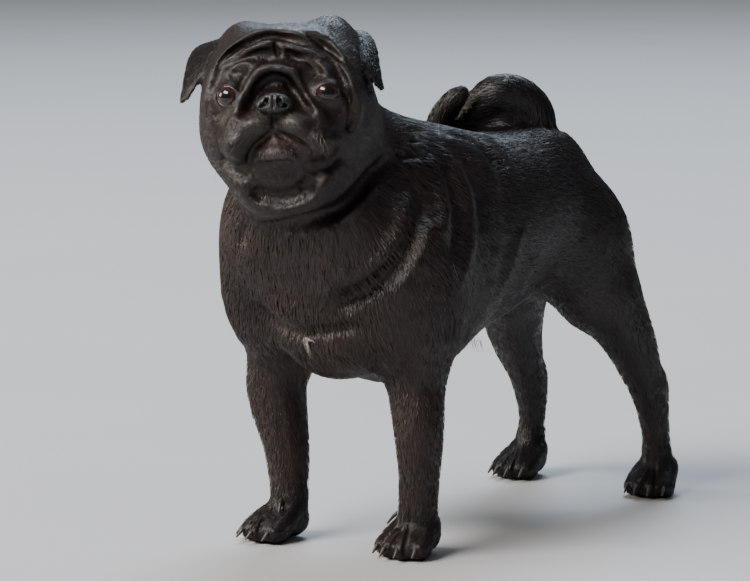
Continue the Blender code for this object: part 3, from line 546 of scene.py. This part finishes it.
class Shading:
    """The node tree of one material."""

    def __init__(self, name, **constants):
        self.material = bpy.data.materials.new(name)
        self.material.use_nodes = True
        self.tree = self.material.node_tree
        self.surface = self.tree.nodes["Principled BSDF"]
        for key, value in constants.items():
            self.surface.inputs[key.replace("_", " ")].default_value = value

    def node(self, kind, settings, sockets, output=0):
        """Adds a node, sets it, fills its sockets with values or links, and gives one output."""
        made = self.tree.nodes.new(f"ShaderNode{kind}")
        for key, value in settings.items():
            setattr(made, key, value)
        for key, value in sockets.items():
            if isinstance(value, Flow):
                self.tree.links.new(value.socket, made.inputs[key])
            else:
                made.inputs[key].default_value = value
        return Flow(self, made.outputs[output])

    def drive(self, **links):
        for key, value in links.items():
            self.tree.links.new(value.socket, self.surface.inputs[key.replace("_", " ")])

    def place(self):
        return self.node("TexCoord", {}, {}, "Object")

    def attribute(self, name):
        return self.node("Attribute", {"attribute_name": name}, {}, "Fac")

    def noise(self, scale, detail=2.0, roughness=0.5, where=None):
        return self.node("TexNoise", {}, {"Vector": where or self.place(), "Scale": scale, "Detail": detail,
                                          "Roughness": roughness}, "Fac")

    def step(self, value, low, high):
        """0 below low and 1 above high."""
        return self.node("MapRange", {"interpolation_type": "SMOOTHSTEP"},
                         {"Value": value, "From Min": low, "From Max": high}, "Result")

    def mix(self, factor, one, two):
        """One colour fading into another."""
        colours = {6: (*one, 1.0) if not isinstance(one, Flow) else one,
                   7: (*two, 1.0) if not isinstance(two, Flow) else two}
        return self.node("Mix", {"data_type": "RGBA"}, {"Factor": factor, **colours}, 2)

    def bump(self, height, strength, distance):
        sockets = {"Height": height, "Strength": strength, "Distance": distance}
        return self.node("Bump", {}, sockets, "Normal")


def coat_material(settings, name, tip):
    """Near-black fur with brown and grey in it, the same pattern on skin and tufts; the brown is partly
    painted sheen of light.
    """
    shading = Shading(name, Roughness=settings.roughness)
    shading.surface.inputs["Specular IOR Level"].default_value = 0.42
    patches = shading.step(shading.noise(22.0, 3.0), 0.42, 0.66)
    streaks = shading.step(shading.noise(340.0, 2.0), 0.35, 0.75)
    # Brown mask: the coat's own brown, with painted sheen of light added on the chest and the lower body
    brown_and_painted_sheen = shading.attribute("brown_and_painted_sheen")
    shade = shading.attribute("shade")
    share = (patches * 0.35 + brown_and_painted_sheen * 0.65) * (0.25 + streaks * 0.4 + shade * 0.45) * tip
    brown = shading.mix(share, settings.colour, settings.brown_and_painted_sheen)
    speck = shading.step(shading.noise(900.0, 1.0), 0.5, 0.62)
    brown = shading.mix(shading.attribute("pink") * (0.4 + streaks * 0.6), brown, settings.pink)
    colour = shading.mix(shading.attribute("grey") * (0.25 + speck * 0.75), brown, settings.grey)
    shading.drive(Base_Color=colour)
    shading.drive(Roughness=settings.roughness - 0.12 + shading.noise(160.0, 2.0) * 0.14 + shade * 0.10)
    fine = shading.noise(1500.0, 3.0, 0.6)
    broad = shading.noise(420.0, 2.0)
    shading.drive(Normal=shading.bump(fine * 0.6 + broad * 0.4, 0.6, 0.0006))
    return shading.material


class PUG_OT_skin(bpy.types.Operator):
    """Wraps one skin round the flesh and presses its folds into it"""
    bl_idname = "pug.skin"
    bl_label = "Skin"

    def execute(self, context):
        settings = context.scene.pug_skin
        skin = copied("skin", FLESH)
        modified(skin, "DISPLACE", strength=settings.swell, mid_level=0.0)
        modified(skin, "REMESH", mode="VOXEL", voxel_size=settings.voxel)
        modified(skin, "SMOOTH", iterations=4)
        points, normals = points_of(skin), normals_of(skin)
        places = Map(points)
        look = facing(points, normals)
        head = places.on("head")
        spots = seen(points)
        points = press(points, normals, FACE_FOLDS, spots, look * head)
        trunk = 1.0 - places.on("ear", "tail", "paw")
        below = rounded(-places.head[:, 2], 30.0, 50.0)
        points = press(points, normals, BODY_FOLDS, spots, look * trunk * np.maximum(1.0 - head, below))
        far = rounded(-normals[:, 0], 0.1, 0.5) * (1.0 - look) * trunk * (1.0 - head)
        points = press(points, normals, FAR_FOLDS, places.stance[:, 1:], far)
        off_floor = rounded(points[:, 2] - CAD_BOX[0][2], 0.0015, 0.005)
        points = press(points, normals, self.clefts(), places.stance[:, :2], places.on("paw") * off_floor)
        set_points(skin, points)
        depth = coat_depth(places) * MM + settings.swell
        set_points(skin, points - normals_of(skin) * depth[:, None])
        modified(skin, "SMOOTH", iterations=1)
        self.thin_body(skin, head, settings.triangles)
        self.mark(skin)
        skin.data.materials.clear()
        skin.data.materials.append(coat_material(settings, "coat skin", 1.0))
        skin.data.shade_smooth()
        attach(skin, "root")
        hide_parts(*FLESH)
        return {"FINISHED"}

    def clefts(self):
        """The clefts between the toes, drawn from above between each pair of claws."""
        made = []
        for end in ("front", "hind"):
            for side in SIDES:
                claws = [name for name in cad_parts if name.startswith(f"claw_{end}_{side}")]
                tips = sorted(((middle_of(name) - STANCE) / MM for name in claws), key=lambda tip: tip.x)
                heel = (middle_of(f"paw_{end}_{side}") - STANCE) / MM
                for one, two in zip(tips, tips[1:]):
                    between = (one + two) / 2
                    ahead = between.lerp(heel, -0.4)
                    behind = between.lerp(heel, 0.9)
                    made.append(([ahead.xy, between.xy, behind.xy], *CLEFT))
        return made

    def thin_body(self, skin, head, triangles):
        """Fewer triangles on the body, and all of them on the head."""
        group = skin.vertex_groups.new(name="body")
        group.add(np.flatnonzero(head == 0.0).tolist(), 1.0, "REPLACE")
        skin.data.calc_loop_triangles()
        modified(skin, "DECIMATE", ratio=triangles / len(skin.data.loop_triangles), vertex_group="body")
        skin.vertex_groups.clear()

    def mark(self, skin):
        """Where the coat is browner and where greyer, as attributes; the brown partly paints sheen of
        light.
        """
        points, normals = points_of(skin), normals_of(skin)
        for name, values in markings(points, normals, Map(points)).items():
            set_attribute(skin, name, values)
        set_attribute(skin, "shade", np.full(len(points), 0.5))


class PUG_OT_coat(bpy.types.Operator):
    """Lays overlapping tufts of short hair over the skin"""
    bl_idname = "pug.coat"
    bl_label = "Coat"

    def execute(self, context):
        settings = context.scene.pug_coat
        skin = bpy.data.objects["skin"]
        chart = Chart(skin)
        surface = BVHTree.FromObject(skin, context.evaluated_depsgraph_get())
        material = coat_material(context.scene.pug_skin, "coat tufts", 1.3)
        chance = np.random.default_rng(SEED)
        roots, normals, places = self.roots(skin, settings.tufts, chance)
        lies = lie_at(roots, normals, places)
        sizes = self.sizes(places)
        strands = self.strands(surface, roots, normals, lies, sizes, chance)
        marks = markings(roots, normals, places)
        for name, chosen in self.pieces(places):
            picked = np.flatnonzero(chosen)
            if len(picked) > COAT_MOST:
                raise RuntimeError(f"coat_{name} has too many tufts for one mesh")
            piece = self.tufts(f"coat_{name}", strands[picked], sizes[picked], settings.thick, chance)
            for mark, values in marks.items():
                set_attribute(piece, mark, np.repeat(values[picked], TUFT_POINTS))
            set_attribute(piece, "shade", np.repeat(chance.random(len(picked)), TUFT_POINTS))
            chart.lay(piece, roots[picked], settings.patch)
            piece.data.materials.append(material)
            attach(piece, "root")
        return {"FINISHED"}

    def roots(self, skin, count, chance):
        """Seeded places on the skin, denser on the head, with the normals there."""
        mesh = skin.data
        mesh.calc_loop_triangles()
        corners = values_of(mesh.loop_triangles, "vertices", 3).astype(int)
        points, normals = points_of(skin), normals_of(skin)
        a, b, c = (points[corners[:, i]] for i in range(3))
        centre = (a + b + c) / 3
        area = np.linalg.norm(np.cross(b - a, c - a), axis=1)
        places = Map(centre)
        dense = np.ones(len(area)) + 0.9 * places.on("head") + 0.8 * places.on("ear", "paw")
        dense *= 1.0 - self.bare(centre)
        weight = area * dense
        picked = chance.choice(len(area), count, p=weight / weight.sum())
        one, two = chance.random(count), chance.random(count)
        flip = one + two > 1
        one[flip], two[flip] = 1 - one[flip], 1 - two[flip]
        share = np.stack([1 - one - two, one, two], axis=1)
        spots = corners[picked]
        roots = (points[spots] * share[..., None]).sum(axis=1)
        facing_out = (normals[spots] * share[..., None]).sum(axis=1)
        facing_out /= np.linalg.norm(facing_out, axis=1)[:, None]
        return roots, facing_out, Map(roots)

    def bare(self, points):
        """1 inside the sockets of the eyes and nose, where no hair grows."""
        inside = np.zeros(len(points))
        for side in SIDES:
            away = np.linalg.norm(points - np.array(middle_of(f"eye_{side}")), axis=1)
            inside = np.maximum(inside, (away < EYE_CLEAR).astype(float))
        away = np.linalg.norm(points - np.array(middle_of("nose")), axis=1)
        return np.maximum(inside, (away < NOSE_CLEAR).astype(float))

    def sizes(self, places):
        """Length, width and height over the skin of each tuft, in metres."""
        count = len(places.node)
        length = np.full(count, 7.2) + 4.5 * places.on("neck")
        chest = rounded(-places.stance[:, 1], 150.0, 200.0) * places.on("torso", "neck")
        length += 3.0 * chest - 2.0 * places.on("foreleg", "hindleg") + 1.0 * places.on("tail")
        face = rounded(-places.head[:, 1], -25.0, 30.0) * places.on("head")
        length = np.where(places.on("head") > 0, 7.0 - 4.2 * face, length)
        length = np.where(places.on("ear") > 0, 3.6, length)
        length = np.where(places.on("paw") > 0, 3.6, length)
        width = 0.34 + 0.055 * length
        return np.stack([length, width, coat_depth(places) + 0.15], axis=1) * MM

    def strands(self, surface, roots, normals, lies, sizes, chance):
        """Root, middle and tip of each tuft with the surface's normal there: count x 3 x 2 x 3."""
        count = len(roots)
        length = sizes[:, 0] * chance.uniform(0.75, 1.2, count)
        height = sizes[:, 2] * chance.uniform(0.7, 1.15, count)
        aside = np.cross(normals, lies)
        way = lies + aside * chance.normal(0.0, 0.16, count)[:, None]
        made = np.empty((count, 3, 2, 3))
        made[:, 0, 0], made[:, 0, 1] = roots - normals * TUFT_BELOW, normals
        for row, (reach, rise) in enumerate(((0.5, 0.72), (1.0, 1.0)), start=1):
            wanted = roots + way * (length * reach)[:, None] + normals * MM
            for i, spot in enumerate(wanted):
                place, normal = surface.find_nearest(spot)[:2]
                made[i, row, 0], made[i, row, 1] = place, normal
            made[:, row, 0] += made[:, row, 1] * (height * rise)[:, None]
        return made

    def pieces(self, places):
        """The coat's pieces, each small enough to stay one mesh."""
        left = places.stance[:, 0] > 0
        head = places.on("head") > 0
        left_face = places.head[:, 0] > 0
        front = places.stance[:, 1] < -40
        torso = places.on("torso") > 0
        legs = places.on("foreleg", "hindleg", "paw") > 0
        return [("head_left", head & left_face), ("head_right", head & ~left_face),
                ("ears", places.on("ear") > 0), ("neck", places.on("neck") > 0),
                ("chest_left", torso & front & left), ("chest_right", torso & front & ~left),
                ("flank_left", torso & ~front & left), ("flank_right", torso & ~front & ~left),
                ("legs_left", legs & left), ("legs_right", legs & ~left), ("tail", places.on("tail") > 0)]

    def tufts(self, name, strands, sizes, thick, chance):
        """One mesh of solid blades with three sides that taper to a tip."""
        count = len(strands)
        spot, normal = strands[:, :, 0], strands[:, :, 1]
        along = spot[:, 2] - spot[:, 0]
        aside = np.cross(normal[:, 1], along)
        aside /= np.maximum(np.linalg.norm(aside, axis=1), 1e-9)[:, None]
        half = (sizes[:, 1] / 2)[:, None]
        verts = np.empty((count, TUFT_POINTS, 3))
        for row, wide in enumerate((0.8, 1.0)):
            verts[:, row * 3] = spot[:, row] - aside * half * wide
            verts[:, row * 3 + 1] = spot[:, row] + aside * half * wide
            verts[:, row * 3 + 2] = spot[:, row] + normal[:, row] * half * wide * 2 * thick
        verts[:, 6] = spot[:, 2]
        lean = aside * chance.normal(0.0, LEAN, count)[:, None]
        lean += along / np.linalg.norm(along, axis=1)[:, None] * chance.normal(0.0, LEAN, count)[:, None]
        turned_to = np.empty((count, TUFT_POINTS, 3))
        for row in range(2):
            turned_to[:, row * 3] = normal[:, row] - aside * ROUNDNESS
            turned_to[:, row * 3 + 1] = normal[:, row] + aside * ROUNDNESS
            turned_to[:, row * 3 + 2] = normal[:, row]
        turned_to[:, 6] = normal[:, 2]
        turned_to += lean[:, None]
        turned_to /= np.linalg.norm(turned_to, axis=2)[..., None]
        mesh = bpy.data.meshes.new(name)
        mesh.vertices.add(count * TUFT_POINTS)
        mesh.vertices.foreach_set("co", verts.astype(np.float32).ravel())
        shape = [[0, 2, 1], [0, 1, 4, 3], [1, 2, 5, 4], [2, 0, 3, 5], [3, 4, 6], [4, 5, 6], [5, 3, 6]]
        flat = np.concatenate([np.array(face) for face in shape])
        loops = (flat[None, :] + np.arange(count)[:, None] * TUFT_POINTS).ravel()
        lengths = np.tile([len(face) for face in shape], count)
        mesh.loops.add(len(loops))
        mesh.loops.foreach_set("vertex_index", loops.astype(np.int32))
        mesh.polygons.add(len(lengths))
        starts = np.concatenate([[0], np.cumsum(lengths)[:-1]])
        mesh.polygons.foreach_set("loop_start", starts.astype(np.int32))
        mesh.update(calc_edges=True)
        mesh.shade_smooth()
        mesh.normals_split_custom_set_from_vertices(turned_to.reshape(-1, 3))
        piece = bpy.data.objects.new(name, mesh)
        bpy.context.scene.collection.objects.link(piece)
        return piece


class Chart:
    """An unwrap of the skin's shape, on which each tuft gets its patch."""

    def __init__(self, skin):
        deselect()
        plan = skin.copy()
        plan.data = skin.data.copy()
        for key in list(plan.keys()):
            del plan[key]
        bpy.context.scene.collection.objects.link(plan)
        modified(plan, "DECIMATE", ratio=0.05)
        bpy.ops.object.mode_set(mode="EDIT")
        bpy.ops.mesh.select_all(action="SELECT")
        bpy.ops.uv.smart_project(angle_limit=math.radians(66), island_margin=0.004)
        bpy.ops.object.mode_set(mode="OBJECT")
        mesh = plan.data
        mesh.calc_loop_triangles()
        self.corners = values_of(mesh.loop_triangles, "vertices", 3).astype(int)
        loops = values_of(mesh.loop_triangles, "loops", 3).astype(int)
        self.places = values_of(mesh.uv_layers.active.data, "uv", 2)[loops]
        self.points = points_of(plan)
        self.tree = BVHTree.FromPolygons(self.points.tolist(), self.corners.tolist())
        bpy.data.objects.remove(plan)

    def lay(self, piece, roots, patch):
        """Gives each tuft a small patch at its root's place on the unwrap."""
        found = [self.tree.find_nearest(root) for root in roots]
        faces = np.array([hit[2] for hit in found])
        spots = np.array([hit[0] for hit in found])
        a, b, c = (self.points[self.corners[faces, i]] for i in range(3))
        whole = np.cross(b - a, c - a)
        scale = (whole**2).sum(axis=1)
        share_b = (np.cross(spots - a, c - a) * whole).sum(axis=1) / scale
        share_c = (np.cross(b - a, spots - a) * whole).sum(axis=1) / scale
        shares = np.stack([1 - share_b - share_c, share_b, share_c], axis=1)
        centre = (self.places[faces] * shares[..., None]).sum(axis=1)
        span = 0.5 * patch
        spread = np.array([(-1, -1), (1, -1), (0, -1), (-0.7, 0.2), (0.7, 0.2), (0, 0.2), (0, 1)]) * span
        at = np.clip(centre[:, None, :] + spread[None], 0.0, 1.0).reshape(-1, 2)
        loops = np.empty(len(piece.data.loops), np.int32)
        piece.data.loops.foreach_get("vertex_index", loops)
        layer = piece.data.uv_layers.new(name="OFBake")
        layer.data.foreach_set("uv", at[loops].astype(np.float32).ravel())


def markings(points, normals, places):
    """How brown, grey and pink the coat is at each place, from 0 to 1; the brown also paints sheen of
    light.
    """
    spots = seen(points)
    front = places.on("head") * facing(points, normals)
    x, z = spots[:, 0], spots[:, 1]
    chin = np.exp(-((x - 3.5) / 11.0) ** 2 - ((z + 36.0) / 4.0) ** 2)
    pads = np.exp(-(((np.abs(x - 1.0) - 9.0) / 8.0) ** 2) - ((z + 13.0) / 8.0) ** 2)
    grey = np.clip(chin * 0.55 + pads * 0.6, 0, 1) * front
    pink = np.exp(-((x - 2.0) / 12.0) ** 2 - ((z + 28.0) / 5.5) ** 2) * front
    # The brown is partly the coat's own and partly painted sheen of light from the front and below:
    # stronger on the chest and on the lower body
    low = rounded(-places.stance[:, 2], -250.0, -120.0)
    chest = rounded(-places.stance[:, 1], 20.0, 130.0)
    brown_and_painted_sheen = np.clip(0.2 + 0.5 * chest + 0.3 * low, 0, 1) * (1 - 0.7 * places.on("paw", "ear"))
    return {"brown_and_painted_sheen": brown_and_painted_sheen, "grey": grey, "pink": pink}


class PUG_OT_hairs(bpy.types.Operator):
    """Whiskers, silver hairs of the chin, the white tuft of the chest and the belly's fringe"""
    bl_idname = "pug.hairs"
    bl_label = "Long hairs"

    def execute(self, context):
        settings = context.scene.pug_hairs
        surface = BVHTree.FromObject(bpy.data.objects["skin"], context.evaluated_depsgraph_get())
        chance = np.random.default_rng(SEED)
        points, faces, pale = [], [], []
        for start, end, way, bow, count, stray, stand, radius, light in LONG_HAIRS:
            across = np.array((way[1], -way[0])) / math.hypot(*way)
            for _ in range(count):
                root = np.array(start) + np.subtract(end, start) * chance.random()
                root = root + chance.normal(0, stray, 2)
                reach = np.array(way) * chance.uniform(0.6, 1.15) + chance.normal(0, stray * 0.4, 2)
                middle = root + reach * 0.5 + across * bow * chance.uniform(0.2, 1.0)
                line = self.line(surface, [root, middle, root + reach], stand * chance.uniform(0.6, 1.2))
                self.strand(points, faces, line, radius * MM)
                pale.extend([light * chance.uniform(0.7, 1.0)] * (HAIR_RINGS * 3 + 1))
        mesh = bpy.data.meshes.new("long_hairs")
        mesh.from_pydata(points, [], faces)
        hairs = bpy.data.objects.new("long_hairs", mesh)
        context.scene.collection.objects.link(hairs)
        set_attribute(hairs, "pale", pale)
        mesh.shade_smooth()
        mesh.materials.append(self.material(settings))
        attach(hairs, "root")
        return {"FINISHED"}

    def line(self, surface, places, stand):
        """Root, middle and tip in space: over the skin, or beside it where they leave its outline."""
        made, far = [], CAMERA_FAR
        for place, share in zip(places, (-0.1, 0.7, 1.0)):
            toward = sight(place)
            spot, normal, _, away = surface.ray_cast(CAMERA, toward)
            if spot is None:
                made.append(np.array(CAMERA + toward * far))
            else:
                far = away
                made.append(np.array(spot + normal * stand * share * MM))
        return made

    def strand(self, points, faces, line, radius):
        """A closed three-sided strand that tapers along a curve through three points."""
        root, middle, tip = line
        aside = np.cross(tip - root, np.array(CAMERA_BACK))
        aside /= np.linalg.norm(aside)
        upward = np.cross(aside, tip - root)
        upward /= np.linalg.norm(upward)
        first = len(points)
        for ring in range(HAIR_RINGS):
            t = ring / HAIR_RINGS
            spot = root * (1 - t) * (1 - 2 * t) + middle * 4 * t * (1 - t) + tip * t * (2 * t - 1)
            for corner in range(3):
                angle = corner * 2 * math.pi / 3
                off = aside * math.cos(angle) + upward * math.sin(angle)
                points.append(tuple(spot + off * radius * (1 - 0.8 * t)))
        points.append(tuple(tip))
        faces.append((first, first + 1, first + 2))
        for ring in range(HAIR_RINGS - 1):
            low = first + ring * 3
            for corner in range(3):
                after = (corner + 1) % 3
                faces.append((low + corner, low + 3 + corner, low + 3 + after, low + after))
        low = first + (HAIR_RINGS - 1) * 3
        faces.extend((low + corner, len(points) - 1, low + (corner + 1) % 3) for corner in range(3))

    def material(self, settings):
        shading = Shading("long hair")
        speck = shading.noise(240.0, 2.0)
        pale = shading.attribute("pale") * (0.7 + speck * 0.3)
        shading.drive(Base_Color=shading.mix(pale, settings.dark, settings.pale))
        shading.drive(Roughness=speck * 0.2 + 0.32)
        return shading.material


class PUG_OT_eyes(bpy.types.Operator):
    """Eyeballs with a brown iris, and the wet rims of the lids"""
    bl_idname = "pug.eyes"
    bl_label = "Eyes"

    def execute(self, context):
        settings = context.scene.pug_eyes
        ball_material, rim_material = self.ball_material(settings), self.rim_material()
        for side, sign in SIDES.items():
            place = Matrix.Translation(middle_of(f"eye_{side}"))
            frame_of_eye = place @ (HEAD_TURN @ turned(EYE_OUTWARD * sign, EYE_UPWARD)).to_4x4()
            self.ball(side, frame_of_eye, settings, ball_material)
            self.rim(side, frame_of_eye, settings, rim_material)
        return {"FINISHED"}

    def ball(self, side, frame_of_eye, settings, material):
        deselect()
        bpy.ops.mesh.primitive_uv_sphere_add(segments=72, ring_count=48, radius=settings.radius,
                                             rotation=(math.radians(90), 0, 0))
        ball = bpy.context.active_object
        ball.name = ball.data.name = f"eyeball_{side}"
        only(ball)
        bpy.ops.object.transform_apply(location=False, rotation=True, scale=False)
        points = points_of(ball)
        gaze = np.arccos(np.clip(-points[:, 1] / settings.radius, -1, 1))
        cornea = settings.iris_angle * 1.05
        bulge = np.clip(1 - (gaze / cornea) ** 2, 0, 1) * settings.bulge
        points *= (1 + bulge / settings.radius)[:, None]
        set_points(ball, points)
        set_attribute(ball, "gaze", gaze)
        set_attribute(ball, "around", np.arctan2(points[:, 2], points[:, 0]) / (2 * math.pi))
        ball.data.transform(frame_of_eye)
        ball.data.shade_smooth()
        ball.data.materials.append(material)
        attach(ball, "root")
        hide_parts(f"eye_{side}")

    def rim(self, side, frame_of_eye, settings, material):
        """A thin wet ring where the lids meet the ball."""
        deselect()
        bpy.ops.mesh.primitive_torus_add(major_segments=96, minor_segments=10, major_radius=RING_RADIUS,
                                         minor_radius=settings.rim)
        ring = bpy.context.active_object
        ring.name = ring.data.name = f"lid_rim_{side}"
        points = points_of(ring)
        angles = np.arctan2(points[:, 1], points[:, 0])
        round_ring = np.stack([np.cos(angles), np.sin(angles), np.zeros(len(angles))], axis=1)
        thick = points - round_ring * RING_RADIUS
        outward = (thick * round_ring).sum(axis=1)
        middle = np.array([self.slit_at(angle, side, settings.radius) for angle in angles])
        away = middle / np.linalg.norm(middle, axis=1)[:, None]
        edge = middle.copy()
        edge[:, 1] = 0
        edge /= np.linalg.norm(edge, axis=1)[:, None]
        set_points(ring, middle + edge * outward[:, None] + away * thick[:, 2:3])
        ring.data.transform(frame_of_eye)
        only(ring)
        bpy.ops.object.mode_set(mode="EDIT")
        bpy.ops.mesh.select_all(action="SELECT")
        bpy.ops.mesh.normals_make_consistent(inside=False)
        bpy.ops.object.mode_set(mode="OBJECT")
        ring.data.shade_smooth()
        ring.data.materials.append(material)
        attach(ring, "root")

    def slit_at(self, angle, side, radius):
        """Where the opening of the lids meets the eyeball, in the eye's frame."""
        wide, high = (half * MM for half in EYE_SLIT[side])
        low_share, high_share = 0.0, 1.0
        for _ in range(24):
            share = (low_share + high_share) / 2
            x, z = wide * math.cos(angle) * share, high * math.sin(angle) * share
            y = -math.sqrt(max(radius**2 - x * x - z * z, 0.0))
            if share**2 + ((y + EYE_SLIT_FRONT * MM) / (EYE_SLIT_DEPTH * MM)) ** 2 < 1:
                low_share = share
            else:
                high_share = share
        return (x, y, z)

    def ball_material(self, settings):
        shading = Shading("eyeball", Roughness=0.3, Coat_Weight=1.0, Coat_Roughness=0.02)
        shading.surface.inputs["Specular IOR Level"].default_value = 0.1
        gaze = shading.attribute("gaze")
        around = shading.attribute("around")
        vector = shading.node("CombineXYZ", {}, {"X": around * 26.0, "Y": gaze * 1.4, "Z": 0.0})
        streak = shading.noise(3.0, 4.0, 0.6, where=vector)
        iris = shading.mix(streak, (0.016, 0.0052, 0.0030), (0.060, 0.0185, 0.0085))
        edge = shading.step(gaze, settings.iris_angle - 0.20, settings.iris_angle)
        iris = shading.mix(edge, iris, (0.006, 0.003, 0.003))
        white = shading.step(gaze, settings.iris_angle, settings.iris_angle + 0.06)
        outer = shading.mix(white, iris, (0.035, 0.022, 0.020))
        pupil = shading.step(gaze, settings.pupil_angle - 0.03, settings.pupil_angle + 0.05)
        shading.drive(Base_Color=shading.mix(pupil, (0.0015, 0.0015, 0.002), outer))
        return shading.material

    def rim_material(self):
        shading = Shading("wet lid rim", Coat_Weight=0.6, Coat_Roughness=0.12)
        speck = shading.noise(900.0, 2.0)
        shading.drive(Base_Color=shading.mix(speck, (0.016, 0.015, 0.016), (0.075, 0.072, 0.075)))
        shading.drive(Roughness=speck * 0.2 + 0.2)
        return shading.material


class PUG_OT_nose(bpy.types.Operator):
    """The leather of the nose with its nostrils"""
    bl_idname = "pug.nose"
    bl_label = "Nose"

    def execute(self, context):
        nose = copied("nose_leather", ["nose"])
        modified(nose, "REMESH", mode="VOXEL", voxel_size=0.00042)
        modified(nose, "SMOOTH", iterations=6)
        points, normals = points_of(nose), normals_of(nose)
        look = facing(points, normals)
        set_points(nose, press(points, normals, NOSE_FOLDS, seen(points), look))
        modified(nose, "SMOOTH", iterations=1)
        shading = Shading("nose leather", Coat_Weight=0.15, Coat_Roughness=0.25)
        pebble = shading.node("TexVoronoi", {"feature": "F1"},
                              {"Vector": shading.place(), "Scale": 1300.0}, "Distance")
        speck = shading.noise(500.0, 2.0)
        shading.drive(Base_Color=shading.mix(speck, (0.006, 0.006, 0.007), (0.016, 0.015, 0.016)))
        shading.drive(Roughness=speck * 0.2 + 0.33)
        shading.drive(Normal=shading.bump(pebble, 0.5, 0.0003))
        nose.data.materials.clear()
        nose.data.materials.append(shading.material)
        nose.data.shade_smooth()
        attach(nose, "root")
        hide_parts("nose")
        return {"FINISHED"}


class PUG_OT_claws(bpy.types.Operator):
    """Worn claws on the toes"""
    bl_idname = "pug.claws"
    bl_label = "Claws"

    def execute(self, context):
        pale = self.material("claw horn", (0.090, 0.075, 0.062))
        dark = self.material("dewclaw horn", (0.016, 0.013, 0.012))
        nodes = [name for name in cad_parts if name.startswith(("claw_", "dewclaw_"))]
        for node in nodes:
            claw = copied(f"horn_{node}", [node])
            modified(claw, "REMESH", mode="VOXEL", voxel_size=0.0004)
            modified(claw, "SMOOTH", iterations=8)
            claw.data.materials.clear()
            claw.data.materials.append(dark if node.startswith("dewclaw_") else pale)
            claw.data.shade_smooth()
            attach(claw, "root")
            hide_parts(node)
        return {"FINISHED"}

    def material(self, name, tint):
        shading = Shading(name, Coat_Weight=0.1)
        band = shading.noise(260.0, 3.0)
        shading.drive(Base_Color=shading.mix(band, (0.012, 0.010, 0.009), tint))
        shading.drive(Roughness=band * 0.2 + 0.38)
        shading.drive(Normal=shading.bump(shading.noise(900.0, 2.0), 0.3, 0.0002))
        return shading.material


class PUG_OT_stage(bpy.types.Operator):
    """Floor, soft studio light and the photograph's camera"""
    bl_idname = "pug.stage"
    bl_label = "Studio"

    def execute(self, context):
        settings = context.scene.pug_stage
        self.floor(settings)
        self.world(settings)
        aim = Vector((0.0, 0.0, 0.2)) + STANCE
        self.lamp("key light", (-1.5, -5.0, 5.2), aim, (4.7, 2.0), settings.key, (1.0, 0.96, 0.92))
        self.lamp("back light", (-2.0, 3.75, 5.5), aim, (3.0, 3.0), settings.key * 0.52, (0.70, 0.84, 1.0))
        self.lamp("side light", (-4.4, -2.4, 1.6), aim, (1.6, 1.6), settings.key * 0.15, (1.0, 0.86, 0.72))
        self.camera(context.scene)
        return {"FINISHED"}

    def floor(self, settings):
        deselect()
        bpy.ops.mesh.primitive_grid_add(x_subdivisions=8, y_subdivisions=8, size=settings.floor,
                                        location=(0, 0, CAD_BOX[0][2]))
        floor = bpy.context.active_object
        floor.name = "floor"
        only(floor)
        bpy.ops.object.transform_apply(location=True, rotation=True, scale=True)
        shading = Shading("floor", Roughness=0.75)
        shading.drive(Base_Color=shading.mix(shading.noise(3.0), (0.50, 0.495, 0.49), (0.54, 0.535, 0.53)))
        floor.data.materials.append(shading.material)

    def world(self, settings):
        world = bpy.data.worlds.new("studio")
        world.use_nodes = True
        backdrop = world.node_tree.nodes["Background"]
        backdrop.inputs["Color"].default_value = (0.80, 0.84, 0.90, 1.0)
        backdrop.inputs["Strength"].default_value = settings.sky
        bpy.context.scene.world = world

    def lamp(self, name, place, aim, size, power, colour):
        light = bpy.data.lights.new(name, "AREA")
        light.shape = "RECTANGLE"
        light.size, light.size_y = size
        light.energy, light.color = power, colour
        lamp = bpy.data.objects.new(name, light)
        lamp.location = place
        lamp.rotation_euler = (Vector(place) - aim).to_track_quat("Z", "Y").to_euler()
        bpy.context.scene.collection.objects.link(lamp)

    def camera(self, scene):
        lens = bpy.data.cameras.new("camera")
        lens.lens, lens.sensor_width, lens.clip_start = CAMERA_LENS, SENSOR, 0.05
        camera = bpy.data.objects.new("camera", lens)
        axes = Matrix((CAMERA_RIGHT, CAMERA_UP, CAMERA_BACK)).transposed()
        camera.matrix_world = Matrix.Translation(CAMERA) @ axes.to_4x4()
        scene.collection.objects.link(camera)
        scene.camera = camera


class PUG_PT_panel(bpy.types.Panel):
    """The pug's pieces in the order in which they are made"""
    bl_label = "Pug"
    bl_space_type = "VIEW_3D"
    bl_region_type = "UI"
    bl_category = "Pug"

    def draw(self, context):
        for step in STEPS:
            self.layout.operator(step.bl_idname)
        for group in SETTINGS:
            for key in SETTINGS[group].__annotations__:
                self.layout.prop(getattr(context.scene, group), key)


SETTINGS = {"pug_skin": PugSkin, "pug_coat": PugCoat, "pug_hairs": PugHairs, "pug_eyes": PugEyes,
            "pug_stage": PugStage}
STEPS = [PUG_OT_skin, PUG_OT_coat, PUG_OT_hairs, PUG_OT_eyes, PUG_OT_nose, PUG_OT_claws, PUG_OT_stage]
CLASSES = [*SETTINGS.values(), *STEPS, PUG_PT_panel]


def register():
    for kind in CLASSES:
        bpy.utils.register_class(kind)
    for name, kind in SETTINGS.items():
        setattr(bpy.types.Scene, name, PointerProperty(type=kind))


def unregister():
    for name in SETTINGS:
        delattr(bpy.types.Scene, name)
    for kind in reversed(CLASSES):
        bpy.utils.unregister_class(kind)


def main():
    register()
    bpy.ops.pug.skin()
    bpy.ops.pug.coat()
    bpy.ops.pug.hairs()
    bpy.ops.pug.eyes()
    bpy.ops.pug.nose()
    bpy.ops.pug.claws()
    bpy.ops.pug.stage()


if __name__ == "__main__":
    main()
